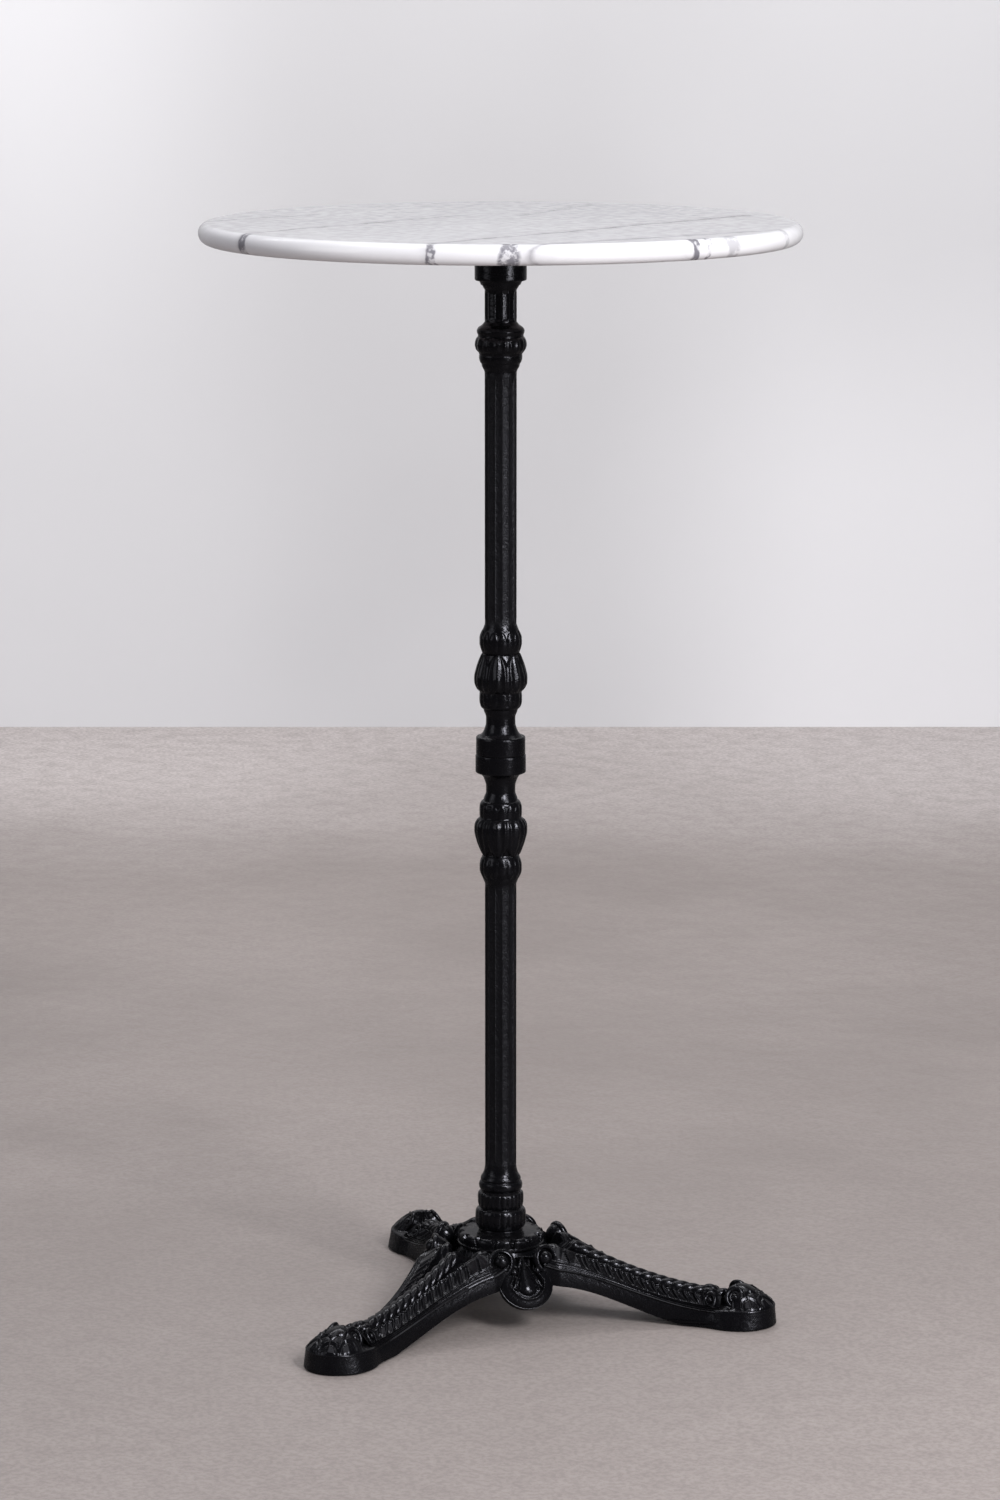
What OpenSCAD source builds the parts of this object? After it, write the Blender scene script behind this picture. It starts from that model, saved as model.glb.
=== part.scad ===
// Tall bistro table: a round marble top screwed to a four-armed spider, on a cast-iron column
// in two lengths, a petalled collar and a three-legged base, all clamped together by a tie rod.
// Millimetres, +Z up. The origin is on the floor, on the column's axis. One leg points along -Y.

/* [Marble top] */
// Diameter of the stone disc
top_d = 600; // [600:10:700]
// Thickness of the stone, which is also the height of its full-round edge
top_t = 20; // [18:1:30]
// Glue gap round each insert in the stone
glue_gap = 0.1; // [0.05:0.05:0.2]

/* [Spider under the top] */
// Distance from the axis to each screw
screw_circle_r = 115; // [100:1:130]
// Height of the spider's boss, from the column to the stone
spider_h = 20; // [20:1:26]
// Diameter of the boss
spider_boss_d = 44; // [40:1:50]
// Width of each arm
arm_w = 24; // [20:1:28]
// Thickness of each arm's plate
arm_t = 6; // [5:0.5:8]
// Thickness of the rib under each arm
rib_t = 7; // [5:0.5:9]
// How far the rib stops short of the screw
rib_clear = 16; // [12:1:24]
// Floor of the boss under the nut
spider_floor_t = 6; // [5:0.5:6]
// Radius of the well for the nut and its washer
nut_well_r = 14; // [13:0.5:16]
// Radius of the spigot that centres the spider in the column
spigot_r = 13; // [12:0.5:14]
// Length of that spigot
spigot_l = 3; // [2:0.5:5]
// Radial clearance of spigots in their recesses
spigot_gap = 0.2; // [0.1:0.05:0.3]

/* [Screws and inserts] */
// Thread diameter of the screws that hold the stone
screw_d = 6; // [5:1:6]
// Length of each screw under its head
screw_l = 18; // [17:0.5:20]
// Distance across the flats of the screw's head
screw_af = 10; // [9:0.5:11]
// Height of the screw's head
screw_head_h = 4; // [3.5:0.5:5]
// Outside diameter of the washer under the head
screw_washer_d = 12; // [11.5:0.5:14]
// Thickness of that washer
screw_washer_t = 1.6; // [1.2:0.2:2]
// Outside diameter of each threaded insert
insert_d = 10; // [9:0.5:12]
// Length of each insert
insert_l = 12; // [12:0.5:13]

/* [Tie rod and nuts] */
// Diameter of the tie rod
rod_d = 12; // [10:1:12]
// Gap between a thread and its nut, on the radius
thread_gap = 0.05; // [0.03:0.01:0.08]
// Clearance round a shank in a plain hole, on the radius
hole_gap = 0.5; // [0.3:0.1:0.6]
// Distance across the flats of the nuts
nut_af = 19; // [18:0.5:19]
// Height of the end nuts
nut_h = 10; // [9:0.5:10]
// Length of the coupling nut that joins the two rods
coupling_l = 36; // [30:1:40]
// Gap between the two rods' ends inside the coupling nut
rod_end_gap = 2; // [1:0.5:4]
// How far the rod stands past its lower nut
rod_proud = 3; // [1:0.5:5]
// How far the upper rod's end stays below the stone
rod_top_clear = 1; // [0.5:0.5:1.5]
// Outside diameter of the upper washer
rod_washer_d = 24; // [23:0.5:25]
// Thickness of the upper washer
rod_washer_t = 2.5; // [2:0.25:2.5]
// Outside diameter of the wide washer under the base
base_washer_d = 37; // [30:1:38]
// Thickness of that washer
base_washer_t = 3; // [2:0.25:4]
// Outside diameter of the lock washer
lock_washer_d = 21; // [20:0.5:22]
// Thickness of the lock washer
lock_washer_t = 2.5; // [2:0.25:3]

/* [Column] */
// Length of each of the two column castings
column_l = 496.5; // [420:0.5:560]
// Radius of the plain shaft
shaft_r = 16; // [15.5:0.1:17]
// Radius of the bore that the rod passes through
column_bore_r = 7; // [6.5:0.1:8]
// Radius of the disc at the joint of the two castings
joint_disc_r = 25.5; // [24.5:0.1:27]
// Thickness of that disc
joint_disc_t = 18.5; // [17:0.5:20]
// Narrowest radius of the vase next to the disc
neck_r = 14.8; // [14.5:0.1:15.5]
// Radius of the cup between the neck and the bulb
cup_r = 21.1; // [20:0.1:22]
// Widest radius of the bulb
bulb_r = 26.2; // [25:0.1:27.5]
// Radius of the ring that ends the vase
ring_r = 21.2; // [20:0.1:22.5]
// Radius of the disc at the top of the column
head_disc_r = 26; // [25:0.1:28]
// Thickness of that disc
head_disc_t = 18; // [16:0.5:20]
// Widest radius of the capital
capital_r = 25.5; // [24.5:0.1:27]
// Radius of the lower band of the column's foot
foot_band_r = 25.4; // [24.5:0.1:27]
// Radius of the upper band of the column's foot
foot_collar_r = 22.9; // [22:0.1:24]
// Wall between the coupling nut and its pocket, on the radius
pocket_gap = 0.6; // [0.3:0.1:0.8]
// Depth left free past each end of the coupling nut
pocket_end_gap = 2; // [1:0.5:3]
// Wall of the centring ring at the joint
centring_t = 3.5; // [3:0.1:4]
// Height of the centring ring
centring_h = 5; // [3:0.5:7]

/* [Collar] */
// Height of the petalled collar
collar_h = 14; // [12:0.5:16]
// Radius of its top edge
collar_top_r = 42.3; // [40:0.1:43]
// Radius of its lower rim
collar_rim_r = 44.5; // [43.5:0.1:45]
// Thickness of the lower rim
collar_rim_t = 3; // [2:0.5:4]
// How far the top face slopes down to its edge
collar_slope = 1.5; // [1:0.1:2.5]
// Number of petals
petals = 14; // [10:2:18]
// Turn of the petals about the column
petal_turn = -7; // [-12:1:12]
// Width of the notch between two petals
notch_w = 5; // [3:0.5:6]
// Depth of that notch
notch_depth = 3; // [2:0.5:4]

/* [Tripod base] */
// Height of the hub's seat above the feet
hub_h = 72; // [70:0.5:76]
// Radius of the seat
hub_seat_r = 41; // [38:0.5:42]
// Radius of the hub's skirt
hub_skirt_r = 58; // [54:0.5:62]
// Height of the boss round the rod
hub_boss_h = 30; // [24:0.5:32]
// Radius of that boss
hub_boss_r = 20; // [19:0.5:24]
// Wall of the casting
wall = 7; // [6:0.5:8]
// Distance from the axis to each foot's centre
foot_circle_r = 254.6; // [245:0.5:265]
// Radius of a foot
foot_r = 31.4; // [29:0.1:34]
// Height of a foot's wall
foot_h = 18; // [16:0.5:20]
// Radius of the dome on a foot
foot_dome_r = 25; // [22:0.5:27]
// Height of the dome above the foot's wall
foot_dome_h = 25; // [20:0.5:28]
// Radius of the leaf knot where the leg meets the foot
knot_r = 12; // [10:0.5:13]
// Distance from the axis to the leg's root, just outside the collar
leg_root_r = 46; // [45.5:0.1:48]
// Radius of the shell between two legs
shell_r = 29; // [26:0.5:31]
// Thickness of the shell
shell_t = 12; // [9:0.5:14]
// Distance from the axis to the shell's centre
shell_circle_r = 76; // [72:0.5:80]
// Height of the shell's centre above the feet
shell_z = 46; // [44:0.5:50]
// Lean of the shell from upright
shell_lean = 30; // [25:1:35]
// Radius of the scroll at each end of a leg's border
scroll_r = 12.5; // [11:0.5:14]
// Length of the scroll
scroll_l = 14; // [12:0.5:16]
// Radius of the ball in the scroll
ball_r = 10; // [8:0.5:10.5]
// Place of the ball along the leg, from the column's axis
scroll_along = 54; // [52:0.5:56]
// Place of the ball across the leg, from the leg's middle
scroll_across = 46; // [44:0.5:48]
// How far the ball's centre sits below the hub's seat
scroll_drop = 6; // [4:0.5:8]
// Turn of the scroll's axis away from the leg
scroll_turn = 40; // [35:1:45]
// Tilt of the scroll's axis from upright
scroll_tilt = 55; // [50:1:60]

/* [Floor pads] */
// Diameter of each pad
pad_d = 40; // [30:1:48]
// Thickness of each pad
pad_t = 3; // [2:0.5:4]
// Depth of the recess that holds the pad
pad_recess = 2; // [1:0.5:2.5]
// Clearance round the pad, on the radius
pad_gap = 0.3; // [0.2:0.1:0.5]

/* [Hidden] */
$fn = 96;
arms = 4;
legs = 3;
arm_turn = 45; // the arms lie between the main axes
leg_turn = -90; // the first leg points along -Y
iron = "#17181b";
steel = "#a9acb0";
brass = "#b8954f";
cut = 1; // how far a cutting tool runs past a face

// Heights, stacked from the floor
z_foot = pad_t - pad_recess;
z_hub = z_foot + hub_h;
z_column = z_hub + collar_h;
z_joint = z_column + column_l;
z_spider = z_joint + column_l;
z_stone = z_spider + spider_h;
z_arm = z_stone - arm_t;
z_screw_head = z_arm - screw_washer_t;
z_rod_washer = z_spider + spider_floor_t;
z_boss = z_hub - hub_boss_h;
z_base_washer = z_boss - base_washer_t;
z_lock_washer = z_base_washer - lock_washer_t;
z_base_nut = z_lock_washer - nut_h;
z_rod_end = z_base_nut - rod_proud;
rod_r = rod_d / 2;
pocket_r = nut_af / sqrt(3) + pocket_gap;
pocket_l = coupling_l / 2 + pocket_end_gap;

// One copy of the children on each of n spokes at radius r
module spokes(n, r, turn = 0) {
    for (i = [0 : n - 1])
        rotate(turn + i * 360 / n) translate([r, 0, 0]) children();
}

// Tube from z0 up, with outside radius r and bore radius b
module tube(z0, h, r, b) {
    translate([0, 0, z0]) difference() {
        cylinder(h = h, r = r);
        translate([0, 0, -cut]) cylinder(h = h + 2 * cut, r = b);
    }
}

// Hexagon nut from z0 up, by its distance across the flats
module hex_nut(z0, h, af, b) {
    translate([0, 0, z0]) difference() {
        cylinder(h = h, r = af / sqrt(3), $fn = 6);
        translate([0, 0, -cut]) cylinder(h = h + 2 * cut, r = b);
    }
}

// Outline points [radius, height] with half-cosine curves from each named point to the next
function eased(keys, steps = 4) = [
    for (i = [0 : len(keys) - 2], k = [0 : steps - 1])
        let (t = (1 - cos(180 * k / steps)) / 2)
            [keys[i][0] + (keys[i + 1][0] - keys[i][0]) * t,
             keys[i][1] + (keys[i + 1][1] - keys[i][1]) * k / steps],
    keys[len(keys) - 1]
];

// Vase of a column casting, as [radius, distance from the joint]
function vase_keys() = [
    [joint_disc_r - 3.5, joint_disc_t], [neck_r, 34], [neck_r, 38], [cup_r - 3.4, 47],
    [cup_r, 54], [cup_r, 64], [bulb_r, 76], [ring_r - 2.4, 105], [ring_r, 118], [shaft_r, 133]
];

// Column from the joint disc to the end of the vase
function vase_outline() = concat(
    [[joint_disc_r - 1, 0], [joint_disc_r, 1], [joint_disc_r, joint_disc_t - 1],
     [joint_disc_r - 1, joint_disc_t]],
    eased(vase_keys())
);

// Capital and top disc, as [radius, distance below the top face]
function capital_outline() = concat(
    eased([[shaft_r, 109], [capital_r - 6.4, 102], [capital_r - 3.7, 94], [capital_r - 3.6, 90.5],
           [capital_r, 81.5], [capital_r - 2.2, 73], [capital_r - 1.6, 68.5], [shaft_r, 60]]),
    [[shaft_r, head_disc_t + 9], [head_disc_r - 5, head_disc_t + 2], [head_disc_r - 4.5, head_disc_t],
     [head_disc_r - 1, head_disc_t], [head_disc_r, head_disc_t - 1], [head_disc_r, 1],
     [head_disc_r - 1, 0]]
);

// Foot of the column, as [radius, distance above its lower face]
function column_foot_outline() = concat(
    eased([[shaft_r, 68], [foot_collar_r - 1, 53], [foot_collar_r - 0.5, 49],
           [foot_collar_r - 1.6, 45.5]]),
    eased([[foot_collar_r, 42], [foot_collar_r, 26]]),
    eased([[foot_band_r - 0.5, 22], [foot_band_r, 7], [foot_band_r - 2.6, 3]]),
    [[foot_band_r - 2.9, 0]]
);

module marble_top() {
    color("white") translate([0, 0, z_stone]) difference() {
        rotate_extrude() union() {
            square([top_d / 2 - top_t / 2, top_t]);
            translate([top_d / 2 - top_t / 2, top_t / 2]) circle(d = top_t);
        }
        spokes(arms, screw_circle_r, arm_turn)
            translate([0, 0, -cut])
                cylinder(h = insert_l + 2 * cut, r = insert_d / 2 + glue_gap);
    }
}

module top_inserts() {
    color(brass) spokes(arms, screw_circle_r, arm_turn)
        tube(z_stone, insert_l, insert_d / 2, screw_d / 2 + thread_gap);
}

// Rib under an arm, drawn as its side view
module arm_rib() {
    rib_end = screw_circle_r - rib_clear;
    translate([0, rib_t / 2, 0]) rotate([90, 0, 0]) linear_extrude(rib_t)
        polygon([[0, z_spider + 2], [spider_boss_d / 2, z_spider + 2], [rib_end, z_arm - 2],
                 [rib_end, z_arm + cut], [0, z_arm + cut]]);
}

module top_spider() {
    color(iron) difference() {
        union() {
            translate([0, 0, z_spider]) cylinder(h = spider_h, r = spider_boss_d / 2);
            translate([0, 0, z_spider - spigot_l]) cylinder(h = spigot_l + cut, r = spigot_r);
            for (i = [0 : arms - 1]) rotate(arm_turn + i * 360 / arms) {
                translate([0, -arm_w / 2, z_arm]) cube([screw_circle_r, arm_w, arm_t]);
                translate([screw_circle_r, 0, z_arm]) cylinder(h = arm_t, r = arm_w / 2);
                arm_rib();
            }
        }
        translate([0, 0, z_rod_washer]) cylinder(h = spider_h, r = nut_well_r);
        translate([0, 0, z_spider - spigot_l - cut])
            cylinder(h = spider_h + spigot_l, r = rod_r + hole_gap);
        spokes(arms, screw_circle_r, arm_turn)
            translate([0, 0, z_arm - cut]) cylinder(h = arm_t + 2 * cut, r = screw_d / 2 + hole_gap);
    }
}

module spider_screws() {
    color(steel) spokes(arms, screw_circle_r, arm_turn) {
        translate([0, 0, z_screw_head - screw_head_h])
            cylinder(h = screw_head_h, r = screw_af / sqrt(3), $fn = 6);
        translate([0, 0, z_screw_head - cut]) cylinder(h = screw_l + cut, d = screw_d);
    }
}

module spider_screw_washers() {
    color(steel) spokes(arms, screw_circle_r, arm_turn)
        tube(z_screw_head, screw_washer_t, screw_washer_d / 2, screw_d / 2 + hole_gap);
}

module rod_top_nut() {
    color(steel) hex_nut(z_rod_washer + rod_washer_t, nut_h, nut_af, rod_r + thread_gap);
}

module rod_top_washer() {
    color(steel) tube(z_rod_washer, rod_washer_t, rod_washer_d / 2, rod_r + hole_gap);
}

module upper_column() {
    shaft_l = column_l;
    ring_in_r = pocket_r;
    color(iron) translate([0, 0, z_joint]) difference() {
        union() {
            rotate_extrude() polygon(concat(
                [[0, 0]], vase_outline(),
                [for (p = capital_outline()) [p[0], shaft_l - p[1]]],
                [[0, shaft_l]]
            ));
            translate([0, 0, -centring_h])
                cylinder(h = centring_h + cut, r = ring_in_r + centring_t);
        }
        translate([0, 0, -centring_h - cut]) cylinder(h = pocket_l + centring_h + cut, r = ring_in_r);
        cylinder(h = shaft_l + cut, r = column_bore_r);
        translate([0, 0, shaft_l - spigot_l - spigot_gap])
            cylinder(h = spigot_l + cut, r = spigot_r + spigot_gap);
    }
}

module lower_column() {
    color(iron) translate([0, 0, z_column]) difference() {
        rotate_extrude() polygon(concat(
            [[0, column_l]],
            [for (p = vase_outline()) [p[0], column_l - p[1]]],
            column_foot_outline(),
            [[0, 0]]
        ));
        translate([0, 0, -cut]) cylinder(h = column_l + 2 * cut, r = column_bore_r);
        translate([0, 0, column_l - pocket_l]) cylinder(h = pocket_l + cut, r = pocket_r);
        translate([0, 0, column_l - centring_h - spigot_gap])
            cylinder(h = centring_h + cut, r = pocket_r + centring_t + spigot_gap);
    }
}

module upper_tie_rod() {
    color(steel) translate([0, 0, z_joint + rod_end_gap / 2])
        cylinder(h = z_stone - rod_top_clear - z_joint - rod_end_gap / 2, r = rod_r);
}

module lower_tie_rod() {
    color(steel) translate([0, 0, z_rod_end])
        cylinder(h = z_joint - rod_end_gap / 2 - z_rod_end, r = rod_r);
}

module rod_coupling_nut() {
    color(steel) hex_nut(z_joint - coupling_l / 2, coupling_l, nut_af, rod_r + thread_gap);
}

module rosette_collar() {
    edge_z = collar_h - collar_slope;
    color(iron) translate([0, 0, z_hub]) difference() {
        rotate_extrude() polygon([
            [rod_r + hole_gap, 0], [collar_rim_r, 0], [collar_rim_r, collar_rim_t],
            [collar_top_r - 0.5, edge_z - 4], [collar_top_r, edge_z - 1], [collar_top_r - 1, edge_z],
            [foot_band_r, collar_h], [rod_r + hole_gap, collar_h]
        ]);
        // V-shaped notches, wide at the top edge and closing towards the rim
        for (i = [0 : petals - 1]) rotate(petal_turn + i * 360 / petals)
            translate([collar_top_r - notch_depth, 0, collar_rim_t])
                linear_extrude(collar_h) polygon([[0, 0], [notch_depth + 2 * cut, -notch_w / 2],
                                                  [notch_depth + 2 * cut, notch_w / 2]]);
    }
}

// Value at distance r along a leg, by the four control values of its curve
leg_r0 = 40; // the curves' first control value is at this distance
leg_r1 = 235; // and their last one at this
leg_bays = 18; // sections between the root and the foot
function rail(c, r) = let (u = (r - leg_r0) / (leg_r1 - leg_r0), v = 1 - u)
    v * v * v * c[0] + 3 * u * v * v * c[1] + 3 * u * u * v * c[2] + u * u * u * c[3];
rope_z = [98, 61, 40, 33]; // top of the rope along the leg's back
rope_w = 7.5; // half width of the rope
border_o = [37, 2, 4, 12]; // leafed border, distance from the leg's middle
border_z = [87, 62, 20, 32]; // leafed border, height
skirt_o = [67, 28, 16, 27]; // edge of the skirt, distance from the leg's middle
skirt_z = [69, 57, 12, 17]; // edge of the skirt, height
under_z = [43, 54, -18, 4]; // lower edge of the skirt
min_under = 1; // the skirt's lower edge stays this far above the foot's plane

// Half of a leg's section at distance r, as [outer points, inner points] from the skirt to the ridge
function half_section(r) =
    let (zr = rail(rope_z, r), ob = max(rail(border_o, r), rope_w + 1), zb = rail(border_z, r),
         os = rail(skirt_o, r), zs = rail(skirt_z, r), zu = max(rail(under_z, r), min_under),
         zv = min(zb - 1, zr - rope_w),
         hollow = r > hub_skirt_r + wall,
         roof = hollow ? max(zu + 1, zs - wall) : zu + 1,
         crown = hollow ? max(roof, zb - 2 * wall) : zu + 1)
    [[[os, zu], [os, zs], [ob, zb], [rope_w, zv], [rope_w / 2, zr - 2]],
     [[os - wall, zu], [os - wall, roof], [ob, crown], [rope_w, crown], [rope_w / 2, crown]]];

// Section of a leg, round the outside and back round the hollow inside
function leg_section(r) =
    let (h = half_section(r), outer = h[0], inner = h[1], last = len(outer) - 1)
    concat(
        [for (p = outer) [r, p[0], p[1]]],
        [for (k = [last : -1 : 0]) [r, -outer[k][0], outer[k][1]]],
        [for (p = inner) [r, -p[0], p[1]]],
        [for (k = [last : -1 : 0]) [r, inner[k][0], inner[k][1]]]
    );

module leg() {
    leg_end_r = foot_circle_r - foot_r + wall;
    rings = [for (i = [0 : leg_bays]) leg_section(leg_root_r + i * (leg_end_r - leg_root_r) / leg_bays)];
    n = len(rings[0]);
    end = leg_bays * n;
    side = [for (i = [0 : leg_bays - 1], k = [0 : n - 1]) let (a = i * n + k, b = i * n + (k + 1) % n)
        each [[b + n, b, a], [a + n, b + n, a]]];
    root_cap = [for (k = [0 : n / 2 - 2]) each [[k, k + 1, n - 2 - k], [k, n - 2 - k, n - 1 - k]]];
    foot_cap = [for (t = root_cap) [end + t[2], end + t[1], end + t[0]]];
    polyhedron(points = [for (ring = rings) each ring], faces = concat(root_cap, side, foot_cap));
}

// Foot with a rounded wall, a dome on top and a recess for its pad
module foot() {
    difference() {
        rotate_extrude() polygon(concat(
            [[0, 0], [foot_r - 1, 0], [foot_r, 2], [foot_r, foot_h - 3], [foot_r - 3, foot_h]],
            [for (a = [0 : 15 : 75]) [foot_dome_r * cos(a), foot_h + foot_dome_h * sin(a)]],
            [[0, foot_h + foot_dome_h]]
        ));
        translate([0, 0, -cut]) cylinder(h = pad_recess + cut, r = pad_d / 2 + pad_gap);
    }
}

module hub() {
    bore_r = rod_r + hole_gap;
    z_low = shell_z - 4; // lower edge of the hub's skirt
    z_edge = shell_z + 3; // upper edge of that skirt's upright band
    shoulder = 8; // how far the shoulder lies below the seat
    rotate_extrude() polygon([
        [bore_r, hub_h - hub_boss_h], [hub_boss_r, hub_h - hub_boss_h],
        [hub_boss_r, hub_h - wall - shoulder / 2], [hub_seat_r - wall, hub_h - wall - shoulder],
        [hub_skirt_r - wall, z_low], [hub_skirt_r, z_low], [hub_skirt_r, z_edge],
        [hub_seat_r + shoulder / 2, hub_h - shoulder], [hub_seat_r, hub_h], [bore_r, hub_h]
    ]);
}

// Shell that closes the gap between two legs, leaning back on the hub
module shell() {
    bevel = 4; // how much narrower the shell is at its back and face
    rise = 3; // how far the bevelled face stands out
    translate([shell_circle_r, 0, shell_z]) rotate([0, 90 - shell_lean, 0]) {
        translate([0, 0, -shell_t]) cylinder(h = shell_t, r1 = shell_r - bevel, r2 = shell_r);
        cylinder(h = rise, r1 = shell_r, r2 = shell_r - bevel);
    }
}

// Scroll with its ball, at the root of a leg's border
module scroll(side) {
    translate([scroll_along, side * scroll_across, hub_h - scroll_drop])
        rotate([0, 0, side * scroll_turn]) rotate([0, scroll_tilt, 0]) {
            translate([0, 0, -scroll_l]) cylinder(h = scroll_l, r = scroll_r);
            sphere(r = ball_r);
        }
}

module tripod_base() {
    color(iron) translate([0, 0, z_foot]) {
        hub();
        for (i = [0 : legs - 1]) rotate(leg_turn + i * 360 / legs) {
            leg();
            translate([foot_circle_r, 0, 0]) foot();
            translate([foot_circle_r - foot_r - knot_r / 2, 0, foot_h + 6]) sphere(r = knot_r);
            scroll(1);
            scroll(-1);
            rotate(180 / legs) shell();
        }
    }
}

module base_washer() {
    color(steel) tube(z_base_washer, base_washer_t, base_washer_d / 2, rod_r + hole_gap);
}

module base_lock_washer() {
    color(steel) difference() {
        tube(z_lock_washer, lock_washer_t, lock_washer_d / 2, rod_r + hole_gap);
        // the split of a spring washer
        translate([rod_r, -cut, z_lock_washer - cut]) cube([lock_washer_d, 2 * cut, lock_washer_t + 2 * cut]);
    }
}

module base_nut() {
    color(steel) hex_nut(z_base_nut, nut_h, nut_af, rod_r + thread_gap);
}

module floor_pads() {
    color("#2b2b2b") spokes(legs, foot_circle_r, leg_turn) cylinder(h = pad_t, d = pad_d);
}

marble_top();
top_inserts();
top_spider();
spider_screws();
spider_screw_washers();
rod_top_nut();
rod_top_washer();
upper_column();
lower_column();
upper_tie_rod();
lower_tie_rod();
rod_coupling_nut();
rosette_collar();
tripod_base();
base_washer();
base_lock_washer();
base_nut();
floor_pads();
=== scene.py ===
# %% [markdown]
# # A bar-height bistro table: marble disc, fluted cast column, three-legged base
# The CAD frame is the measured skeleton of the table. Everything below dresses it: castings get their
# flutes, petals, ropes and leaves, and every surface gets the finish of enamelled iron, stone or steel.
# All sizes in the cells are millimetres on the real table; MM turns them into Blender's metres.

# %% Frame and helpers
import math
import bpy
import numpy as np
from mathutils import Matrix, Vector


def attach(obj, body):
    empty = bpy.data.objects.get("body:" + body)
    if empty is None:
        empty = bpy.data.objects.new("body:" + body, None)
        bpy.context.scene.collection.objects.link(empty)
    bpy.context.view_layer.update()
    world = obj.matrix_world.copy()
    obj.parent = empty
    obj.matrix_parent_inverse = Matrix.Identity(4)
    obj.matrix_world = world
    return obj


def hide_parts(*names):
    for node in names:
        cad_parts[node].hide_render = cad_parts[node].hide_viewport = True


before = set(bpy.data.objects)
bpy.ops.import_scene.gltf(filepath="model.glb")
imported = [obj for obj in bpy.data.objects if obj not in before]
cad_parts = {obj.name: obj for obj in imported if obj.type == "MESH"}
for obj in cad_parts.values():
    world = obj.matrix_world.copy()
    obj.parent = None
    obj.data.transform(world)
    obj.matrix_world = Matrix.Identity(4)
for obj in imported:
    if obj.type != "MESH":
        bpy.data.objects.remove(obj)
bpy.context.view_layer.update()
MM = 0.001
scene = bpy.context.scene


def clear():
    if bpy.context.object and bpy.context.object.mode != "OBJECT":
        bpy.ops.object.mode_set(mode="OBJECT")
    bpy.ops.object.select_all(action="DESELECT")


def edit(select="SELECT"):
    bpy.ops.object.mode_set(mode="EDIT")
    bpy.ops.mesh.select_all(action=select)


def named(name):
    o = bpy.context.object
    o.name = o.data.name = name
    return o


def only(*objects):
    clear()
    for o in objects:
        o.select_set(True)
    bpy.context.view_layer.objects.active = objects[0]
    return objects[0]


def read(o):
    co = np.zeros(len(o.data.vertices) * 3)
    o.data.vertices.foreach_get("co", co)
    return co.reshape(-1, 3) / MM


def write(o, co):
    o.data.vertices.foreach_set("co", (co * MM).ravel())
    o.data.update()


def tidy_up(o, angle=40, gap=0.002):
    """One skin: doubled points welded, normals turned outward, soft shading below the given angle."""
    only(o)
    edit()
    bpy.ops.mesh.remove_doubles(threshold=gap * MM)
    bpy.ops.mesh.normals_make_consistent(inside=False)
    bpy.ops.object.mode_set(mode="OBJECT")
    bpy.ops.object.shade_smooth_by_angle(angle=math.radians(angle))
    return o


def seated(o):
    """Object back at the origin, unturned and unscaled, its shape left where it is."""
    only(o)
    bpy.ops.object.transform_apply(location=True, rotation=True, scale=True)
    return o


def ball(radius, segments, at=(0, 0, 0)):
    clear()
    bpy.ops.mesh.primitive_uv_sphere_add(segments=segments, ring_count=segments // 2, radius=radius * MM,
                                         location=[c * MM for c in at])
    return seated(bpy.context.object)


def ring(major, minor, segments, round_segments):
    clear()
    bpy.ops.mesh.primitive_torus_add(major_radius=major * MM, minor_radius=minor * MM,
                                     major_segments=segments, minor_segments=round_segments)
    return bpy.context.object


def rod(radius, length, segments, at=(0, 0, 0)):
    clear()
    bpy.ops.mesh.primitive_cylinder_add(vertices=segments, radius=radius * MM, depth=length * MM,
                                        location=[c * MM for c in at])
    return seated(bpy.context.object)


def joined(o, *others):
    only(o, *others)
    bpy.ops.object.join()
    return o


def pose(at, *turns):
    """A move to a place, after turns of (degrees, axis) of which the last one listed comes first."""
    move = Matrix.Translation(Vector(at) * MM)
    for degrees, axis in turns:
        move = move @ Matrix.Rotation(math.radians(degrees), 4, axis)
    return move


def three_round(master, first):
    """Three copies round the table's axis, each with its own mesh, the first at the given turn."""
    made = []
    for k in range(3):
        only(master)
        bpy.ops.object.duplicate()
        made.append(bpy.context.object)
        made[-1].data.transform(pose((0, 0, 0), (first + 120 * k, "Z")))
    bpy.data.objects.remove(master)
    return made


def told(o):
    co = read(o)
    low, high = co.min(0), co.max(0)
    print(o.name, len(o.data.polygons), "faces", np.round(low, 1), np.round(high, 1))
    return o


def step(x, a, b):
    """0 up to a, 1 from b on, and a soft rise between them."""
    t = np.clip((x - a) / (b - a), 0, 1)
    return t * t * (3 - 2 * t)


def hump(x, centre, width):
    return np.exp(-(((x - centre) / width) ** 2))


# %% [markdown]
# ## Turned outlines
# A casting pattern is turned on a lathe first and carved afterwards, and so is each iron piece here.
# The outline is a few (height, radius) keys in runs. Inside a run the curve passes softly through the
# keys without bulging between them; between two runs there is a sharp step.

# %% Outline through keys, and the lathe
def softly(keys, gap):
    """Points about gap apart on a monotone curve through (height, radius) keys."""
    z = np.array([k[0] for k in keys], float)
    r = np.array([k[1] for k in keys], float)
    h, d = np.diff(z), np.diff(r) / np.diff(z)
    slope = np.zeros(len(z))
    for i in range(1, len(z) - 1):
        if d[i - 1] * d[i] > 0:
            a, b = 2 * h[i] + h[i - 1], h[i] + 2 * h[i - 1]
            slope[i] = (a + b) / (a / d[i - 1] + b / d[i])
    slope[0], slope[-1] = d[0], d[-1]
    out = []
    for i in range(len(h)):
        n = max(1, int(math.ceil(math.hypot(h[i], r[i + 1] - r[i]) / gap)))
        for k in range(n):
            t = k / n
            out.append((
                r[i] * (1 + 2 * t) * (1 - t) ** 2 + h[i] * slope[i] * t * (1 - t) ** 2
                + r[i + 1] * t * t * (3 - 2 * t) + h[i] * slope[i + 1] * t * t * (t - 1),
                z[i] + t * h[i],
            ))
    out.append((r[-1], z[-1]))
    return out


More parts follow.
